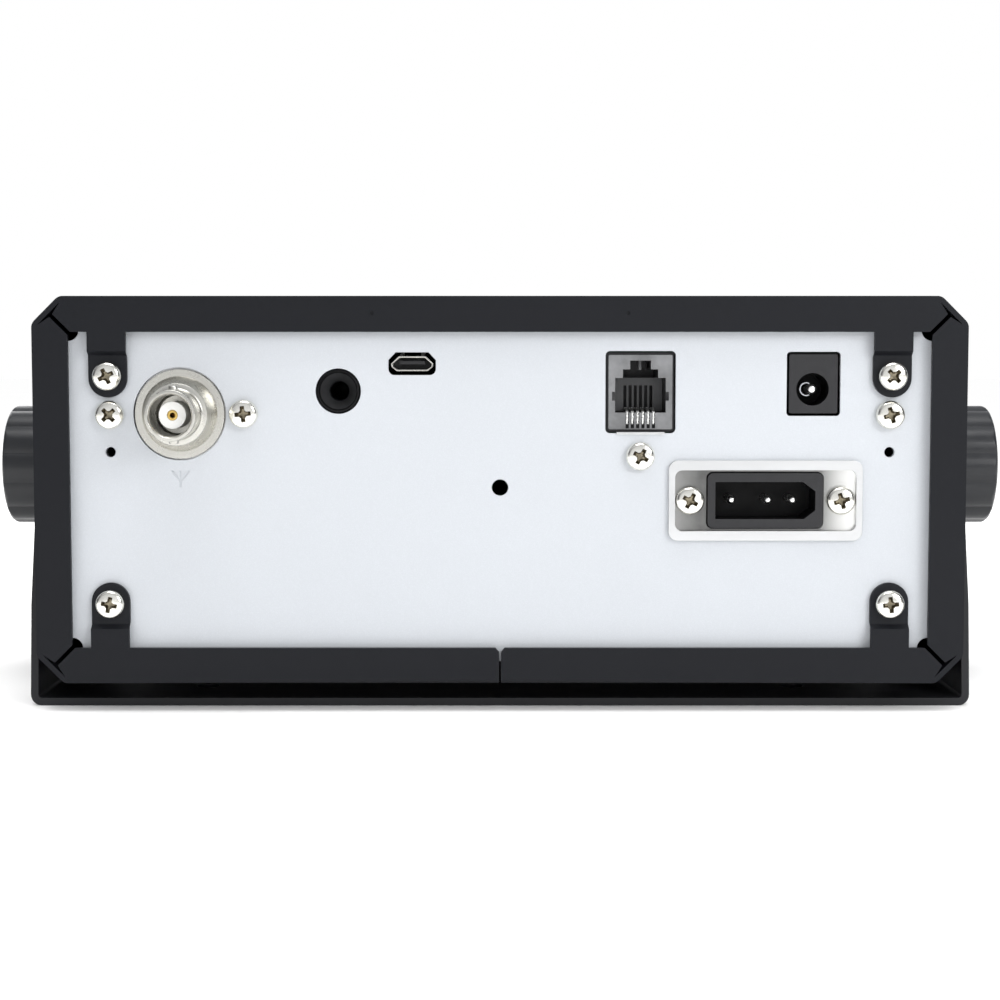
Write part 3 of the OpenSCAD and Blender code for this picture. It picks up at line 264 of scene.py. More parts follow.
antennaAxis = middleOf("antenna_insulator")
finishes = {
    "bracket_paint": surface("bracketPaint", {"colour": (0.012, 0.0122, 0.0145), "rough": 0.44,
                                              "specular": 0.32,
                                              "grain": 0.22, "bump": 0.22, "peel": 1.1, "mottle": 0.05,
                                              "swing": 0.02}),
    "sleeve_paint": surface("sleevePaint", {"colour": (0.0066, 0.0073, 0.0098), "rough": 0.48,
                                            "specular": 0.18,
                                            "grain": 0.2, "bump": 0.25, "peel": 0.9, "peelBump": 0.14,
                                            "mottle": 0.04, "mottleSize": 30, "swing": 0.02}),
    "panel_silver": surface("panelSilver", {"colour": (0.484, 0.505, 0.534), "rough": 0.48, "specular": 0.35,
                                            "grain": 0.14, "bump": 0.08, "mottle": 0.012, "mottleSize": 40,
                                            "speck": 0.12, "speckColour": (0.6, 0.62, 0.66), "coat": 0.08,
                                            "coatRough": 0.3}),
    "knob_plastic": surface("knobNylon", {"colour": (0.0125, 0.0137, 0.0165), "rough": 0.34, "specular": 0.42,
                                          "grain": 0.25, "bump": 0.18, "mottle": 0.06, "patch": 2}),
    "screw_nickel": surface("screwNickel", {"colour": (0.9, 0.885, 0.82), "rough": 0.2, "metal": 1,
                                            "grain": 0.3,
                                            "bump": 0.06, "mottle": 0.06, "mottleSize": 3, "patch": 1.5}),
    "zinc_steel": surface("zincPlating", {"colour": (0.6, 0.62, 0.65), "rough": 0.33, "metal": 1,
                                          "grain": 0.2,
                                          "bump": 0.1, "mottle": 0.12, "mottleSize": 4, "swing": 0.1}),
    "jack_nickel": turnedMetal("turnedNickel", {"colour": (0.56, 0.55, 0.51), "rough": 0.27, "ring": 0.25,
                                                "axis": (antennaAxis.x, 0, antennaAxis.z), "bump": 0.12}),
    "plate_nickel": surface("plateNickel", {"colour": (0.62, 0.625, 0.63), "rough": 0.36, "metal": 1,
                                            "grain": 0.12,
                                            "bump": 0.05, "mottle": 0.05, "mottleSize": 6, "stretch": (0.15,
                                                                                                       1,
                                                                                                       1)}),
    "contact_gold": surface("contactGold", {"colour": (0.6, 0.42, 0.13), "rough": 0.34, "metal": 1,
                                            "grain": 0.1,
                                            "bump": 0.05, "mottle": 0.08, "mottleSize": 1.5, "patch": 0.6}),
    "pin_tin": surface("pinTin", {"colour": (0.9, 0.9, 0.88), "rough": 0.28, "metal": 1, "grain": 0.15,
                                  "bump": 0.05,
                                  "mottle": 0.06, "mottleSize": 2, "patch": 0.8}),
    "ptfe": surface("whitePtfe", {"colour": (0.87, 0.87, 0.85), "rough": 0.45, "specular": 0.4, "grain": 0.15,
                                  "bump": 0.06, "mottle": 0.03, "mottleSize": 2}),
    "jack_black": surface("jackBlack", {"colour": (0.014, 0.014, 0.016), "rough": 0.42, "specular": 0.4,
                                        "grain": 0.12,
                                        "bump": 0.15, "mottle": 0.12, "mottleSize": 3, "patch": 1.2}),
    # Very dark black: the audio jack's flat lip, and painted shade on faces deep inside sockets, slots and
    # bores
    "blackAndShade": surface("blackAndShade", {"colour": (0.0045, 0.0045, 0.005), "rough": 0.4, "specular": 0.12,
                                       "grain": 0.12, "bump": 0.1, "mottle": 0.1, "mottleSize": 2}),
    "jack_smoke": surface("jackSmoke", {"colour": (0.15, 0.152, 0.157), "rough": 0.2, "specular": 0.5,
                                        "grain": 0.5,
                                        "bump": 0.04, "mottle": 0.4, "mottleSize": 7, "coat": 0.5}),
    "front_plastic": surface("frontPlastic", {"colour": (0.017, 0.0175, 0.019), "rough": 0.5,
                                              "specular": 0.35,
                                              "grain": 0.18, "bump": 0.3, "mottle": 0.04, "mottleSize": 12,
                                              "swing": 0.025}),
    "key_plastic": surface("keyPlastic", {"colour": (0.085, 0.088, 0.095), "rough": 0.45, "specular": 0.45,
                                          "grain": 0.15, "bump": 0.15, "mottle": 0.05, "mottleSize": 5}),
    "power_key_plastic": surface("powerKeyPlastic", {"colour": (0.33, 0.035, 0.028), "rough": 0.42,
                                                     "grain": 0.15,
                                                     "bump": 0.12, "mottle": 0.06, "mottleSize": 4}),
    "dial_plastic": surface("dialPlastic", {"colour": (0.016, 0.016, 0.0175), "rough": 0.36, "specular": 0.45,
                                            "grain": 0.16, "bump": 0.12, "mottle": 0.08, "mottleSize": 8}),
    "lens_smoke": glassFinish("lensSmoke", {"colour": (0.11, 0.116, 0.124), "rough": 0.02, "swing": 0.02,
                                            "clear": 0.6}),
    "display_cell": cellFinish("displayCell", {"film": (0.075, 0.09, 0.082, 1), "gap": (0.025, 0.03, 0.028,
                                                                                        1),
                                               "haze": (0.06, 0.07, 0.064, 1), "pitch": 3.2}),
    "light_lens": glassFinish("lightLens", {"colour": (0.25, 0.62, 0.25), "rough": 0.12, "swing": 0.05,
                                            "clear": 0.5}),
    "rubber_black": surface("padRubber", {"colour": (0.015, 0.015, 0.015), "rough": 0.75, "specular": 0.3,
                                          "grain": 0.3, "bump": 0.3, "mottle": 0.15, "mottleSize": 4}),
    "keypad_rubber": surface("keypadRubber", {"colour": (0.11, 0.11, 0.115), "rough": 0.68, "grain": 0.3,
                                              "bump": 0.2, "mottle": 0.1, "mottleSize": 5}),
    "board_green": boardFinish("boardLacquer", {"lacquer": (0.012, 0.1, 0.035, 1), "dark": (0.009, 0.075,
                                                                                            0.028, 1),
                                                "track": (0.03, 0.17, 0.06, 1), "tin": (0.7, 0.69, 0.64, 1),
                                                "pitch": 6, "pads": 5}),
    "part_black": surface("partBlack", {"colour": (0.02, 0.02, 0.022), "rough": 0.5, "grain": 0.2,
                                        "bump": 0.15,
                                        "mottle": 0.15, "mottleSize": 4}),
    "chassis_aluminium": surface("chassisAluminium", {"colour": (0.5, 0.51, 0.52), "rough": 0.45, "metal": 1,
                                                      "grain": 0.3, "bump": 0.1, "mottle": 0.06,
                                                      "mottleSize": 10,
                                                      "stretch": (0.06, 1, 1)}),
    "speaker_cone": coneFinish("conePaper", {"colour": (0.02, 0.02, 0.021),
                                             "axis": (middleOf("speaker").x, 0, middleOf("speaker").z)}),
    "ribbon_grey": ribbonFinish("ribbonGrey", {"groove": (0.18, 0.18, 0.19, 1), "wire": (0.42, 0.42, 0.43, 1),
                                               "pitch": 1.27}),
}
for name, obj in nodes.items():
    obj.data.materials.clear()
    obj.data.materials.append(finishes[nodeSlot[name]])
print("finishes made,", len(finishes))


# Mesh helpers. Every finished piece sits at the origin with its place in its mesh
def makePiece(name, bm, body, finish, nodesShown=(), corner=30, weighted=True):
    mesh = bpy.data.meshes.new(name)
    bm.to_mesh(mesh)
    bm.free()
    mesh.polygons.foreach_set("use_smooth", [True] * len(mesh.polygons))
    mesh.set_sharp_from_angle(angle=math.radians(corner))
    piece = bpy.data.objects.new(name, mesh)
    bpy.context.scene.collection.objects.link(piece)
    mesh.materials.append(finish)
    if weighted:
        flatten = piece.modifiers.new("flatShading", "WEIGHTED_NORMAL")
        flatten.keep_sharp = True
    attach(piece, body)
    if nodesShown:
        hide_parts(*nodesShown)
    return piece


def mergedCopy(node):
    bm = bmesh.new()
    bm.from_mesh(nodes[node].data)
    bmesh.ops.remove_doubles(bm, verts=bm.verts, dist=0.002 * mm)
    return bm


# The node's own shape with its broken edges rounded
def softened(node, edge, segments=2, corner=32, flat=1.0):
    bm = mergedCopy(node)
    bmesh.ops.dissolve_limit(bm, angle_limit=math.radians(flat), verts=bm.verts, edges=bm.edges)
    sharp = [e for e in bm.edges if len(e.link_faces) == 2 and e.calc_face_angle(0) > math.radians(corner)]
    bmesh.ops.bevel(bm, geom=sharp, offset=edge * mm, offset_type="OFFSET", segments=segments, profile=0.5,
                    affect="EDGES", clamp_overlap=True, material=-1)
    return bm


def standIn(node, name, edge, segments=2, corner=32, shadeCorner=30):
    slot = nodeSlot[node]
    return makePiece(name, softened(node, edge, segments, corner), nodeBody[node], finishes[slot],
                     [node],
                     shadeCorner)


# Centre and size of each loose solid in a node
def solidsOf(node):
    bm = mergedCopy(node)
    left = set(bm.verts)
    found = []
    while left:
        batch = [left.pop()]
        group = list(batch)
        while batch:
            vert = batch.pop()
            for e in vert.link_edges:
                other = e.other_vert(vert)
                if other in left:
                    left.remove(other)
                    batch.append(other)
                    group.append(other)
        low = Vector([min(v.co[k] for v in group) for k in range(3)])
        high = Vector([max(v.co[k] for v in group) for k in range(3)])
        found.append((low, high))
    bm.free()
    return sorted(found, key=lambda s: tuple(round(c, 5) for c in s[0]))


# Spins a profile of (radius, height) in millimetres about Z, closed where it meets the axis
def turned(profile, steps=48, closed=False):
    bm = bmesh.new()
    verts = [bm.verts.new((r * mm, 0, h * mm)) for r, h in profile]
    edges = [bm.edges.new(pair) for pair in zip(verts, verts[1:])]
    if closed:
        edges.append(bm.edges.new((verts[-1], verts[0])))
    bmesh.ops.spin(bm, geom=verts + edges, cent=(0, 0, 0), axis=(0, 0, 1), dvec=(0, 0, 0), angle=2 * math.pi,
                   steps=steps, use_merge=True, use_duplicate=False)
    bmesh.ops.remove_doubles(bm, verts=bm.verts, dist=0.001 * mm)
    bmesh.ops.recalc_face_normals(bm, faces=bm.faces)
    return bm


def arc(centre, radius, start, end, steps):
    angles = [math.radians(start + (end - start) * i / steps) for i in range(steps + 1)]
    return [(centre[0] + radius * math.cos(a), centre[1] + radius * math.sin(a)) for a in angles]


def boxShape(size, place=(0, 0, 0), taper=1.0):
    bm = bmesh.new()
    bmesh.ops.create_cube(bm, size=1)
    bmesh.ops.scale(bm, vec=(taper, taper, 1), verts=[v for v in bm.verts if v.co.z < 0])
    bmesh.ops.scale(bm, vec=[s * mm for s in size], verts=bm.verts)
    bmesh.ops.translate(bm, vec=[p * mm for p in place], verts=bm.verts)
    return bm


def moved(bm, matrix):
    bmesh.ops.transform(bm, matrix=matrix, verts=bm.verts)
    return bm


def joined(parts):
    whole = bmesh.new()
    for part in parts:
        mesh = bpy.data.meshes.new("part")
        part.to_mesh(mesh)
        part.free()
        whole.from_mesh(mesh)
        bpy.data.meshes.remove(mesh)
    return whole


def temporary(bm):
    mesh = bpy.data.meshes.new("temporary")
    bm.to_mesh(mesh)
    bm.free()
    obj = bpy.data.objects.new("temporary", mesh)
    bpy.context.scene.collection.objects.link(obj)
    return obj


# One shape less another, through the Boolean modifier
def cutAway(body, cutter, operation="DIFFERENCE"):
    first, second = temporary(body), temporary(cutter)
    boolean = first.modifiers.new("cut", "BOOLEAN")
    boolean.object = second
    boolean.operation = operation
    boolean.solver = "EXACT"
    result = first.evaluated_get(bpy.context.evaluated_depsgraph_get()).to_mesh()
    bm = bmesh.new()
    bm.from_mesh(result)
    for obj in (first, second):
        mesh = obj.data
        bpy.data.objects.remove(obj)
        bpy.data.meshes.remove(mesh)
    return bm


# Turns a shape made along +Z so that it stands out along the given direction
def facing(direction, place, spinBy=0.0):
    turn = Vector((0, 0, 1)).rotation_difference(Vector(direction)).to_matrix().to_4x4()
    if direction == (0, 1, 0):
        turn = Matrix(((-1, 0, 0, 0), (0, 0, 1, 0), (0, 1, 0, 0), (0, 0, 0, 1)))
    if direction == (0, -1, 0):
        turn = Matrix(((1, 0, 0, 0), (0, 0, -1, 0), (0, 1, 0, 0), (0, 0, 0, 1)))
    return Matrix.Translation(place) @ turn @ Matrix.Rotation(spinBy, 4, "Z")


# Bent sheet: sleeve, rear panel and bracket
sheetLook = {"sleeveEdge": 0.14, "panelEdge": 0.1, "bracketEdge": 0.3, "bendR": 0.85, "straight": 12}


# The sleeve's flanges turn in over rounded bends
def roundedFlanges(bm, look):
    low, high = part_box("case_sleeve")
    bends = []
    for e in bm.edges:
        a, b = (v.co for v in e.verts)
        middle = (a + b) / 2
        onRear = min(a.y, b.y) > high.y - 0.05 * mm
        atSide = min(middle.x - low.x, high.x - middle.x) < 0.05 * mm
        atTop = min(middle.z - low.z, high.z - middle.z) < 0.05 * mm
        if onRear and (atSide or atTop) and e.calc_length() > look["straight"] * mm:
            bends.append(e)
    bmesh.ops.bevel(bm, geom=bends, offset=look["bendR"] * mm, offset_type="OFFSET", segments=5, profile=0.5,
                    affect="EDGES", clamp_overlap=False, material=-1)
    print("flange bends", len(bends))


def sleeveShape(look):
    bm = mergedCopy("case_sleeve")
    bmesh.ops.dissolve_limit(bm, angle_limit=math.radians(1), verts=bm.verts, edges=bm.edges)
    roundedFlanges(bm, look)
    sharp = [e for e in bm.edges if len(e.link_faces) == 2 and e.calc_face_angle(0) > math.radians(40)]
    bmesh.ops.bevel(bm, geom=sharp, offset=look["sleeveEdge"] * mm, offset_type="OFFSET", segments=2,
                    profile=0.5,
                    affect="EDGES", clamp_overlap=True, material=-1)
    return bm


makePiece("caseSleeve", sleeveShape(sheetLook), nodeBody["case_sleeve"], finishes["sleeve_paint"],
          ["case_sleeve"])
standIn("rear_panel", "rearPanel", sheetLook["panelEdge"])
standIn("bracket", "tiltBracket", sheetLook["bracketEdge"], 3)
print("sheet parts made")


# Pan-head screws with a tapered cross recess
screwLook = {"headR": 2.8, "headH": 2.0, "edgeR": 1.05, "crown": 0.16, "wingL": 4.6, "wingW": 1.2,
             "depth": 1.3,
             "taper": 0.42, "shankR": 1.5, "steps": 48, "turns": (0.28, -0.5, 0.1, 0.75, -0.2, 0.45, 1.1,
                                                                  -0.9)}


# Finish for the cross recess: a darker plating, with painted shade for the shadow inside the recess
recessShadeFinish = surface("screwRecessShade", {"colour": (0.24, 0.21, 0.15), "rough": 0.35, "metal": 1, "grain": 0.15,
                                       "bump": 0.1, "mottle": 0.2, "mottleSize": 1})


def panScrew(length, look=screwLook):
    r, h, e = look["headR"], look["headH"], look["edgeR"]
    side = arc((r - e, h - e - look["crown"]), e, 0, 72, 6)
    head = turned([(0, 0), (r - 0.12, 0), (r, 0.12)] + side + [(0.9, h), (0, h)], look["steps"])
    wings = [boxShape((look["wingL"], look["wingW"], 2 * look["depth"]), (0, 0, h),
                      look["taper"]) for _ in range(2)]
    for shape in wings:
        bmesh.ops.bevel(shape, geom=[e for e in shape.edges], offset=0.05 * mm, offset_type="OFFSET",
                        segments=1,
                        profile=0.5, affect="EDGES", material=-1)
    moved(wings[1], Matrix.Rotation(math.pi / 2, 4, "Z"))
    for shape in wings:
        head = cutAway(head, shape)
    centre = turned([(0, h - look["depth"] - 0.1), (0.5, h - look["depth"]), (0.95, h + 0.4), (0, h + 0.4)],
                    24)
    head = cutAway(head, centre)
    for face in head.faces:   # the recess gets a darker finish: partly its darker plating, partly painted shade for the recess's own shadow
        middle = face.calc_center_median()
        steep = abs(face.normal.z) < 0.8 or middle.z < (h - 0.7) * mm
        inside = middle.xy.length < 1.75 * mm and middle.z > 0.3 * mm
        face.material_index = 1 if inside and steep else 0
    shank = turned([(0, -length), (look["shankR"] - 0.4, -length), (look["shankR"], 0.4 - length),
                    (look["shankR"], 0.02), (0, 0.02)], 24)
    return joined([head, shank])


def screwsOf(node, name, outward):
    parts = []
    for i, (low, high) in enumerate(solidsOf(node)):
        centre = (low + high) / 2
        direction = outward(centre)
        axis = max(range(3), key=lambda k: abs(direction[k]))
        tip = high[axis] if direction[axis] > 0 else low[axis]
        span = (high[axis] - low[axis]) / mm
        base = centre.copy()
        base[axis] = tip - direction[axis] * screwLook["headH"] * mm
        screw = panScrew(span - screwLook["headH"])
        parts.append(moved(screw, facing(direction, base, screwLook["turns"][i % 8])))
    slot = nodeSlot[node]
    piece = makePiece(name, joined(parts), nodeBody[node], finishes[slot], [node], 35)
    piece.data.materials.append(recessShadeFinish)
    return piece


def rearward(centre):
    return (0, 1, 0)


def sideOrRear(centre):
    if centre.y > 0:
        return (0, 1, 0)
    return (1, 0, 0) if centre.x > 0 else (-1, 0, 0)


screwsOf("panel_screws", "panelScrews", rearward)
screwsOf("power_screws", "inletScrews", rearward)
screwsOf("sleeve_screws", "sleeveScrews", sideOrRear)
print("screws made")


# Antenna jack
jackLook = {"flangeR": 8.7, "flangeAt": -11.6, "coneR": 7.2, "collarR": 6.0, "collarAt": -7.6,
            "barrelR": 4.83,
            "boreR": 3.95, "floorAt": -9.6, "holeR": 2.62, "backAt": -23.6, "panelBackAt": -13.0,
            "studAt": -4.6,
            "studR": 0.95, "studTop": 5.53, "steps": 96}


def antennaJack(look):
    barrel, collar, flange = look["barrelR"], look["collarR"], look["flangeR"]
    profile = [(look["holeR"], look["floorAt"]), (look["boreR"] - 0.3, look["floorAt"])]
    profile += [(look["boreR"], look["floorAt"] + 0.3), (look["boreR"], -0.45), (look["boreR"] + 0.2, -0.08)]
    profile += [(look["boreR"] + 0.32, 0)] + arc((barrel - 0.16, -0.16), 0.16, 90, 0, 3)
    profile += [(barrel, -2.9), (barrel - 0.08, -2.95), (barrel - 0.08, -3.15), (barrel, -3.2)]
    profile += arc((barrel + 0.5, look["collarAt"] + 1.0), 0.5, 180, 270, 4) + [(collar - 0.25,
                                                                                 look["collarAt"] + 0.4)]
    profile += arc((collar - 0.2, look["collarAt"] + 0.2), 0.2, 90, 0, 3) + [(collar, look["collarAt"] - 0.9)]
    profile += [(look["coneR"] - 0.25, look["flangeAt"] + 0.5), (look["coneR"] + 0.1, look["flangeAt"])]
    profile += arc((flange - 0.15, look["flangeAt"] - 0.15), 0.15, 90, 0, 3) + [(flange, look["panelBackAt"])]
    profile += [(barrel - 0.05, look["panelBackAt"]), (barrel - 0.05, look["backAt"]), (look["holeR"],
                                                                                        look["backAt"])]
    body = turned(profile, look["steps"], closed=True)
    studs = []
    for side in (1, -1):
        r = look["studR"]
        stud = turned([(0, barrel - 0.4), (r, barrel - 0.4)] + arc((r - 0.25, look["studTop"] - 0.25), 0.25,
                                                                   0, 90, 3)
                      + [(0, look["studTop"])], 24)
        turn = Matrix.Rotation(-side * math.pi / 2, 4, "X")
        studs.append(moved(stud, Matrix.Translation((0, 0, look["studAt"] * mm)) @ turn))
    return joined([body] + studs)


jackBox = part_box("antenna_jack")
jackFront = Vector((antennaAxis.x, jackBox[1].y, antennaAxis.z))
makePiece("antennaJack", moved(antennaJack(jackLook), facing((0, 1, 0), jackFront)), nodeBody["antenna_jack"],
          finishes["jack_nickel"], ["antenna_jack"])
standIn("antenna_insulator", "antennaInsulator", 0.12)
standIn("antenna_contact", "antennaContact", 0.1)


# Audio jack: a flat black lip round a cup that narrows to the bore
audioLook = {"noseR": 4.2, "lipR": 3.5, "cupR": 1.95, "cupDepth": 3.4, "boreR": 1.8, "depth": 12.6,
             "bodyAt": 1.35,
             "lipDrop": 0.5, "steps": 64}


def audioJack(look):
    lip = look["lipR"]
    fall = look["cupDepth"] - look["lipDrop"]
    cup = [(look["cupR"] + (lip - look["cupR"]) * (1 - i / 6),
            -look["lipDrop"] - fall * i / 6) for i in range(7)]
    profile = [(look["boreR"], -look["depth"]), (look["boreR"], -look["cupDepth"] - 0.3)] + cup[::-1]
    profile += arc((look["noseR"] - 0.45, -0.45), 0.45, 90, 0, 6)
    profile += [(look["noseR"], -look["bodyAt"]), (look["noseR"], -look["depth"])]
    return turned(profile, look["steps"], closed=True)


audioLow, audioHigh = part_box("audio_jack")
audioFace = Vector(((audioLow.x + audioHigh.x) / 2, audioHigh.y, audioLow.z + (audioHigh.x - audioLow.x) / 2))
audioBody = mergedCopy("audio_jack")
bmesh.ops.bisect_plane(audioBody, geom=audioBody.verts[:] + audioBody.edges[:] + audioBody.faces[:],
                       dist=1e-7,
                       plane_co=(0, audioHigh.y - audioLook["bodyAt"] * mm, 0), plane_no=(0, 1, 0),
                       clear_outer=True)
audioPiece = makePiece("audioJack", joined([audioBody, moved(audioJack(audioLook), facing((0, 1, 0),
                                                                                          audioFace))]),
                       nodeBody["audio_jack"], finishes["jack_black"], ["audio_jack"])
audioPiece.data.materials.append(finishes["blackAndShade"])
# Lighter copy of the black plastic for the cone: painted light
audioPiece.data.materials.append(surface("coneLitBlack", {"colour": (0.026, 0.0265, 0.028), "rough": 0.38,
                                                       "specular": 0.45, "grain": 0.12, "bump": 0.1,
                                                       "mottle": 0.12,
                                                       "mottleSize": 2}))
for face in audioPiece.data.polygons:   # painted light and shade: the flat lip very dark, the cone a lighter black for the light falling on it, the bore very dark for painted shade
    out = Vector((face.center.x - audioFace.x, face.center.z - audioFace.z)).length
    fromFace = audioFace.y - face.center.y
    inBore = fromFace > audioLook["cupDepth"] * mm and out < audioLook["cupR"] * mm
    if out > audioLook["lipR"] * mm or inBore:
        face.material_index = 1
    elif fromFace > 0.1 * mm and fromFace < audioLook["cupDepth"] * mm:
        face.material_index = 2


# Faces that lie deeper than the given depth below a connector's front get painted shade: the very dark black
# stands in for the shade inside a socket
def paintShadeInside(piece, node, depth):
    piece.data.materials.append(finishes["blackAndShade"])
    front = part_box(node)[1].y
    for face in piece.data.polygons:
        if face.center.y < front - depth * mm:
            face.material_index = 1


for node, name, edge in (("usb_shell", "usbShell", 0.06), ("usb_tongue", "usbTongue", 0.05), ("dc_pin",
                                                                                              "dcPin", 0.1),
                         ("power_pins", "powerPins", 0.1)):
    standIn(node, name, edge)
paintShadeInside(standIn("dc_jack", "dcJack", 0.12), "dc_jack", 0.3)
paintShadeInside(standIn("power_inlet", "powerInlet", 0.3), "power_inlet", 1.0)


# Modular jack: smoke face, black inside, with six bent spring wires
modularLook = {"faceDepth": 0.7, "skin": 0.5, "wireR": 0.3, "wires": 6, "pitch": 1.02, "rise": 0.5,
               "run": 6.9,
               "comb": (9.6, 6.5, 0.8), "combAt": 7.6, "slit": (0.62, 5.1), "post": (0.5, 1.9, 3),
               "slotShade": (6.5, 3.3, 0.1), "band": (12.2, 1.0, 0.2), "slotShadeIn": 0.52, "slotShadeUp": 0.05,
               "bandOut": 0.06, "bandDown": 0.25, "combUp": 3.15, "slitUnder": 0.1, "slitDeep": 3,
               "postIn": 3.2, "postUp": 12.2, "wireIn": 0.25, "footUp": 0.1, "lipUp": 3.1, "bendDown": 0.3,
               "bendIn": 0.5, "bendUp": 0.25, "mouthR": 6}
modularJack = standIn("modular_jack", "modularJack", 0.08)
modularJack.data.materials.append(finishes["jack_black"])
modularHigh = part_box("modular_jack")[1]
# Faces deeper than faceDepth turn black, and the walls inside the mouth behind the skin turn black as painted
# shade of the mouth
for face in modularJack.data.polygons:
    fromFace = modularHigh.y - face.center.y
    inMouth = (face.center - middleOf("modular_jack")).xz.length < modularLook["mouthR"] * mm
    behindSkin = fromFace > modularLook["skin"] * mm and abs(face.normal.y) < 0.5
    if fromFace > modularLook["faceDepth"] * mm or (behindSkin and inMouth):
        face.material_index = 1


def wireShape(points, radius, sides=8):
    curve = bpy.data.curves.new("wire", "CURVE")
    curve.dimensions = "3D"
    curve.bevel_depth = radius * mm
    curve.bevel_resolution = sides // 4
    curve.use_fill_caps = True
    line = curve.splines.new("BEZIER")
    line.bezier_points.add(len(points) - 1)
    for point, place in zip(line.bezier_points, points):
        point.co = place
        point.handle_left_type = point.handle_right_type = "AUTO"
    line.resolution_u = 6
    holder = bpy.data.objects.new("wire", curve)
    bpy.context.scene.collection.objects.link(holder)
    mesh = holder.evaluated_get(bpy.context.evaluated_depsgraph_get()).to_mesh()
    bm = bmesh.new()
    bm.from_mesh(mesh)
    bpy.data.objects.remove(holder)
    bpy.data.curves.remove(curve)
    return bm


contactLow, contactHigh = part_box("modular_contacts")
wires = []
for i in range(modularLook["wires"]):
    x = (contactLow.x + contactHigh.x) / 2 + (i - (modularLook["wires"] - 1) / 2) * modularLook["pitch"] * mm
    front, foot = contactHigh.y - modularLook["wireIn"] * mm, contactLow.z
    lip = foot + modularLook["lipUp"] * mm
    path = [(x, front, foot + modularLook["footUp"] * mm), (x, front, lip - modularLook["bendDown"] * mm),
            (x, front - modularLook["bendIn"] * mm, lip + modularLook["bendUp"] * mm),
            (x, front - modularLook["run"] * mm, lip + modularLook["rise"] * mm)]
    wires.append(wireShape(path, modularLook["wireR"]))
makePiece("modularWires", joined(wires), nodeBody["modular_contacts"], finishes["pin_tin"],
          ["modular_contacts"])

# Comb across the back of the mouth that keeps the wires apart, and the post in the latch slot
comb = boxShape(modularLook["comb"])
combX = (contactLow.x + contactHigh.x) / 2
combZ = contactLow.z + (modularLook["combUp"] + modularLook["comb"][1] / 2) * mm
for i in range(modularLook["wires"]):
    x = (i - (modularLook["wires"] - 1) / 2) * modularLook["pitch"]
    slit = boxShape((modularLook["slit"][0], modularLook["slit"][1], modularLook["slitDeep"]),
                    (x, (modularLook["slit"][1] - modularLook["comb"][1]) / 2 - modularLook["slitUnder"], 0))
    comb = cutAway(comb, slit)
combPlace = Vector((combX, modularHigh.y - modularLook["combAt"] * mm, combZ))
post = boxShape(modularLook["post"])
postPlace = Vector((combX, modularHigh.y - modularLook["postIn"] * mm,
                    contactLow.z + modularLook["postUp"] * mm))
# Painted shade: a black box for the shaded slots that the wires stand in, and a black band for the shade
# under them
slotShadePlace = Vector((combX, contactHigh.y - modularLook["slotShadeIn"] * mm,
                    contactLow.z + (modularLook["slotShade"][1] / 2 + modularLook["slotShadeUp"]) * mm))
bandPlace = Vector((combX, contactHigh.y + modularLook["bandOut"] * mm,
                    contactLow.z + (modularLook["band"][1] / 2 - modularLook["bandDown"]) * mm))
makePiece("modularSlotShade", joined([moved(boxShape(modularLook["slotShade"]), facing((0, 1, 0), slotShadePlace)),
                                 moved(boxShape(modularLook["band"]), facing((0, 1, 0), bandPlace))]),
          nodeBody["modular_jack"], finishes["blackAndShade"])
makePiece("modularComb", joined([moved(comb, facing((0, 1, 0), combPlace)),
                                 moved(post, facing((0, 1, 0), postPlace))]),
          nodeBody["modular_jack"], surface("combPlastic", {
              "colour": (0.06, 0.061, 0.064), "rough": 0.4, "grain": 0.15, "bump": 0.08, "mottle": 0.08,
              "mottleSize": 2}))

# Edge of the jack's spring clip, showing under the cut-out
stripLook = {"wide": 9.3, "tall": 0.5, "proud": 0.3, "down": 0.75, "edge": 0.05}
strip = boxShape((stripLook["wide"], 2 * stripLook["proud"], stripLook["tall"]))
bmesh.ops.bevel(strip, geom=strip.edges[:], offset=stripLook["edge"] * mm, offset_type="OFFSET", segments=2,
                profile=0.5,
                affect="EDGES", material=-1)
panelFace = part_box("rear_panel")[1].y
stripPlace = (combX, panelFace, contactLow.z - (stripLook["down"] + stripLook["tall"] / 2) * mm)
makePiece("jackClip", moved(strip, Matrix.Translation(stripPlace)), nodeBody["modular_jack"],
          finishes["plate_nickel"])

# Stamped plate: the tray behind the inlet has a painted reflection, its colour ramping from dark to light
# across it for the room it mirrors
trayLook = {"stops": ((0.0, 0.3), (0.15, 0.12), (0.8, 0.2), (0.9, 0.6), (1.0, 0.9)), "wide": 36,
            "below": 0.85}
plateLow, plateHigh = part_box("power_plate")


def trayReflectionFinish(name, look):
    material, tree, shader, coords = startFinish(name)
    # Painted reflection: the base colour ramps dark to light across the tray
    across = addNode(tree, "ShaderNodeSeparateXYZ", {"Vector": coords}).outputs["X"]
    middle = (plateLow.x + plateHigh.x) / 2
    along = spread(tree, across, 1, 0, middle - look["wide"] / 2 * mm, middle + look["wide"] / 2 * mm)
    ramp = addNode(tree, "ShaderNodeValToRGB", {"Fac": along})
    stops = ramp.color_ramp.elements
    while len(stops) < len(look["stops"]):
        stops.new(0.5)
    for stop, (at, tone) in zip(stops, look["stops"]):
        stop.position = at
        stop.color = (tone, tone, tone * 0.98, 1)
    grain = noiseOf(tree, coords, 0.15, 3)
    cloud = noiseOf(tree, coords, 2.5, 3)
    tree.links.new(mixed(tree, spread(tree, cloud, 0, 0.1), ramp.outputs["Color"], (0.5, 0.5, 0.49, 1)),
                   shader.inputs["Base Color"])
    tree.links.new(spread(tree, cloud, 0.3, 0.34), shader.inputs["Roughness"])
    shader.inputs["Metallic"].default_value = 1
    bumped(tree, shader, [(grain, 0.03, 0.02)])
    return material


powerPlate = standIn("power_plate", "powerPlate", 0.22, 3)
powerPlate.data.materials.append(trayReflectionFinish("trayPaintedReflection", trayLook))
for face in powerPlate.data.polygons:
    if face.center.y < plateHigh.y - trayLook["below"] * mm:
        face.material_index = 1

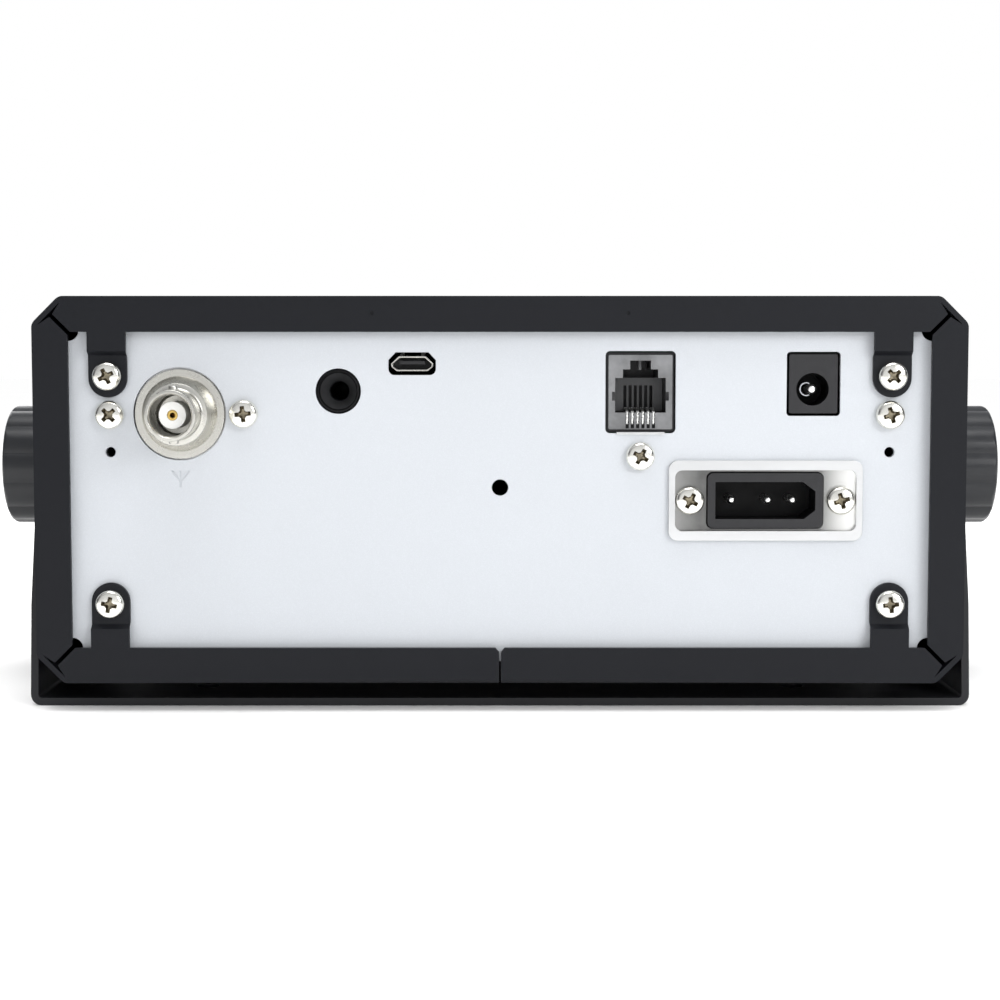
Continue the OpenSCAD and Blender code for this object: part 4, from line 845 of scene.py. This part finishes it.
# Leaf spring round the pin of the power jack
springLook = {"radius": 1.15, "thick": 0.18, "deep": 1.2, "depth": 2.2, "start": 62, "turn": 235,
              "aside": 0.85}
pinAxis = middleOf("dc_pin")
spring = bmesh.new()
thick, deep = springLook["thick"], springLook["deep"]
corners = [spring.verts.new(((springLook["radius"] + a) * mm, 0, b * mm))
           for a, b in ((0, 0), (thick, 0), (thick, deep), (0, deep))]
leaf = spring.faces.new(corners)
bmesh.ops.rotate(spring, cent=(0, 0, 0), matrix=Matrix.Rotation(math.radians(springLook["start"]), 3, "Z"),
                 verts=spring.verts)
bmesh.ops.spin(spring, geom=[leaf], cent=(0, 0, 0), axis=(0, 0, 1), dvec=(0, 0, 0),
               angle=math.radians(springLook["turn"]), steps=32, use_merge=False, use_duplicate=False)
bmesh.ops.recalc_face_normals(spring, faces=spring.faces)
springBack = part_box("dc_jack")[1].y - (springLook["depth"] + springLook["deep"]) * mm
springPlace = Vector((pinAxis.x + springLook["aside"] * mm, springBack, pinAxis.z))
makePiece("dcSpring", moved(spring, facing((0, 1, 0), springPlace)), nodeBody["dc_jack"],
          finishes["zinc_steel"])
print("connectors made")

# Thumb knobs, washers and pads
for node, name, edge in (("left_knob", "leftThumbKnob", 0.12), ("right_knob", "rightThumbKnob", 0.12),
                         ("left_knob_washer", "leftWasher", 0.12), ("right_knob_washer", "rightWasher", 0.12),
                         ("left_knob_screw", "leftKnobScrew", 0.1), ("right_knob_screw", "rightKnobScrew",
                                                                     0.1),
                         ("pivot_pads", "pivotPads", 0.2)):
    standIn(node, name, edge)
print("thumb knobs made")

# Front side
standIn("front_panel", "frontPanel", 0.35, 3)
standIn("display_lens", "displayLens", 0.2, 3)
for i in range(1, 9):
    standIn("key_%d" % i, "functionKey%d" % i, 0.35, 3)
standIn("power_key", "powerKey", 0.15)


# A knob: plain foot, ribbed grip and a rounded cap, built along +Z from its foot
def ribbedDisc(radius, groove, ribs, low, high):
    bm = bmesh.new()
    bmesh.ops.create_circle(bm, cap_ends=True, radius=radius * mm, segments=ribs * 4)
    for i, vert in enumerate(bm.verts):
        if i % 4 > 1:
            vert.co *= (radius - groove) / radius
    bmesh.ops.translate(bm, vec=(0, 0, low * mm), verts=bm.verts)
    grown = bmesh.ops.extrude_face_region(bm, geom=bm.faces[:])
    raised = [g for g in grown["geom"] if isinstance(g, bmesh.types.BMVert)]
    bmesh.ops.translate(bm, vec=(0, 0, (high - low) * mm), verts=raised)
    bmesh.ops.recalc_face_normals(bm, faces=bm.faces)
    rims = [e for e in bm.edges if abs(e.verts[0].co.z - e.verts[1].co.z) < 1e-7]
    bmesh.ops.bevel(bm, geom=rims, offset=0.12 * mm, offset_type="OFFSET", segments=1, profile=0.5,
                    affect="EDGES",
                    clamp_overlap=True, material=-1)
    return bm


dialLook = {"footR": 18.3, "gripR": 19.0, "groove": 0.5, "ribs": 60, "gripLow": 2.2, "gripHigh": 11.2,
            "capR": 18.4,
            "length": 16, "edge": 1.6, "restOut": 11, "restR": 6.5, "restUp": 5, "ring": 15.2}
smallLook = {"footR": 6.6, "gripR": 7.0, "groove": 0.3, "ribs": 24, "gripLow": 1.4, "gripHigh": 9.4,
             "capR": 6.7,
             "length": 13, "edge": 0.9}


def knobParts(look):
    foot = turned([(0, 0), (look["footR"] - 0.3, 0), (look["footR"], 0.3), (look["footR"],
                                                                            look["gripLow"] + 0.2),
                   (0, look["gripLow"] + 0.2)], 96)
    grip = ribbedDisc(look["gripR"], look["groove"], look["ribs"], look["gripLow"], look["gripHigh"])
    edge, top, r = look["edge"], look["length"], look["capR"]
    cap = [(0, look["gripHigh"] - 0.2), (r - 0.15, look["gripHigh"] - 0.2), (r, look["gripHigh"] + 0.25)]
    cap += arc((r - edge, top - edge), edge, 0, 90, 8)
    return foot, grip, cap


def dialShape(look):
    foot, grip, cap = knobParts(look)
    top = look["length"]
    cap += [(look["ring"] + 0.5, top), (look["ring"] + 0.25, top - 0.25), (look["ring"], top), (0, top)]
    body = turned(cap, 128)
    rest = bmesh.new()
    bmesh.ops.create_uvsphere(rest, u_segments=64, v_segments=32, radius=look["restR"] * mm)
    bmesh.ops.translate(rest, vec=(0, look["restOut"] * mm, (top + look["restUp"]) * mm), verts=rest.verts)
    return joined([foot, grip, cutAway(body, rest)])


def footOf(node):
    low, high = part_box(node)
    return Vector(((low.x + high.x) / 2, high.y, (low.z + high.z) / 2))


makePiece("mainDial", moved(dialShape(dialLook), facing((0, -1, 0), footOf("dial"))), nodeBody["dial"],
          finishes["dial_plastic"], ["dial"], 25)
markFinish = surface("paleMarks", {"colour": (0.5, 0.51, 0.52), "rough": 0.5, "grain": 0.1, "bump": 0.05,
                                   "mottle": 0.03, "mottleSize": 2})
for node, name in (("volume_knob", "volumeKnob"), ("squelch_knob", "squelchKnob")):
    foot, grip, cap = knobParts(smallLook)
    top = smallLook["length"]
    notch = boxShape((0.8, 3.5, 1), (0, smallLook["gripR"] - 1.7, top))
    body = cutAway(turned(cap + [(0, top)], 64), notch)
    place = facing((0, -1, 0), footOf(node))
    makePiece(name, moved(joined([foot, grip, body]), place), nodeBody[node], finishes["dial_plastic"],
              [node], 25)
    pointer = boxShape((0.74, 3.2, 0.3), (0, smallLook["gripR"] - 2.0, top - 0.32))
    makePiece(name + "Pointer", moved(pointer, place), nodeBody[node], markFinish)

# Printed marks on the face: a bar over each key and a ring of ticks round each small knob
markLook = {"proud": 0.03, "bar": (3.2, 0.45), "barUp": 4.0, "ticks": 11, "tickR": 8.9, "tick": (0.35, 1.0),
            "sweep": 280}
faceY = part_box("front_panel")[0].y
marks = []
for i in range(1, 9):
    key = middleOf("key_%d" % i)
    bar = boxShape((markLook["bar"][0], markLook["bar"][1], 2 * markLook["proud"]))
    marks.append(moved(bar, facing((0, -1, 0), Vector((key.x, faceY, key.z + markLook["barUp"] * mm)))))
for node in ("volume_knob", "squelch_knob"):
    axis = footOf(node)
    for i in range(markLook["ticks"]):
        turn = math.radians(markLook["sweep"] * (i / (markLook["ticks"] - 1) - 0.5))
        size = (markLook["tick"][0], markLook["tick"][1], 2 * markLook["proud"])
        tick = boxShape(size, (0, markLook["tickR"], 0))
        marks.append(moved(tick, facing((0, -1, 0), Vector((axis.x, faceY, axis.z)), turn)))
makePiece("faceMarks", joined(marks), nodeBody["front_panel"], markFinish)
print("front made")


# Studio: pale floor, soft lights and camera
studioLook = {"floorSize": 12, "floor": (0.99, 0.99, 0.99), "sky": (1.0, 1.0, 1.0), "roomDark": (0.1, 0.1,
                                                                                                 0.11),
              "roomLight": (0.8, 0.81, 0.83)}
floorShape = bmesh.new()
bmesh.ops.create_grid(floorShape, x_segments=1, y_segments=1, size=studioLook["floorSize"] / 2)
floorMesh = bpy.data.meshes.new("floor")
floorShape.to_mesh(floorMesh)
floorShape.free()
floor = bpy.data.objects.new("floor", floorMesh)
bpy.context.scene.collection.objects.link(floor)
floorMesh.materials.append(surface("floorPaper", {"colour": studioLook["floor"], "rough": 0.85,
                                                  "specular": 0.0,
                                                  "grain": 0.8, "bump": 0.02, "mottle": 0.004,
                                                  "mottleSize": 200}))

world = bpy.data.worlds.new("studio")
bpy.context.scene.world = world
world.use_nodes = True
tree = world.node_tree
# Even white all round; what the gloss mirrors is lighter ahead, behind and above than at the sides
along = addNode(tree, "ShaderNodeSeparateXYZ", {"Vector": addNode(tree,
                                                                  "ShaderNodeTexCoord").outputs["Generated"]})
ahead = addNode(tree, "ShaderNodeMath", {0: along.outputs["Y"]}, operation="ABSOLUTE").outputs[0]
lit = addNode(tree, "ShaderNodeMath", {0: spread(tree, ahead, 0, 1, 0.45, 0.97),
                                       1: spread(tree, along.outputs["Z"], 0, 0.9, 0.3, 0.95)},
              operation="MAXIMUM").outputs[0]
mirrored = mixed(tree, lit, studioLook["roomDark"] + (1,), studioLook["roomLight"] + (1,))
glossy = addNode(tree, "ShaderNodeLightPath").outputs["Is Glossy Ray"]
tree.links.new(mixed(tree, glossy, studioLook["sky"] + (1,), mirrored),
               tree.nodes["Background"].inputs["Color"])

lightLook = {
    "keyLight": {"place": (-0.46, 0.54, 0.34), "size": 0.35, "power": 2.3},
    "topLight": {"place": (0.0, 0.1, 0.9), "size": 0.6, "power": 5},
    "frontLight": {"place": (0.5, -1.0, 0.6), "size": 0.8, "power": 2.2},
}
aim = (cadLow + cadHigh) / 2
for name, look in lightLook.items():
    lamp = bpy.data.lights.new(name, "AREA")
    lamp.shape = "DISK"
    lamp.size = look["size"]
    lamp.energy = look["power"]
    holder = bpy.data.objects.new(name, lamp)
    holder.location = look["place"]
    holder.rotation_mode = "QUATERNION"
    holder.rotation_quaternion = (aim - Vector(look["place"])).to_track_quat("-Z", "Y")
    bpy.context.scene.collection.objects.link(holder)

cameraLook = {"back": 0.3788, "rise": 0.06304, "pitch": 4.17, "lens": 70.8, "shiftY": 0.0017}
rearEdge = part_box("case_sleeve")[1]
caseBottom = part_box("case_sleeve")[0]
cameraData = bpy.data.cameras.new("camera")
cameraData.lens = cameraLook["lens"]
cameraData.sensor_width = 36
cameraData.shift_y = cameraLook["shiftY"]
cameraData.clip_start = 0.01
camera = bpy.data.objects.new("camera", cameraData)
camera.location = (0, rearEdge.y + cameraLook["back"], caseBottom.z + cameraLook["rise"])
camera.rotation_euler = (math.radians(90 - cameraLook["pitch"]), 0, math.pi)
bpy.context.scene.collection.objects.link(camera)
bpy.context.scene.camera = camera
bpy.context.scene.view_settings.view_transform = "Standard"
print("studio made")
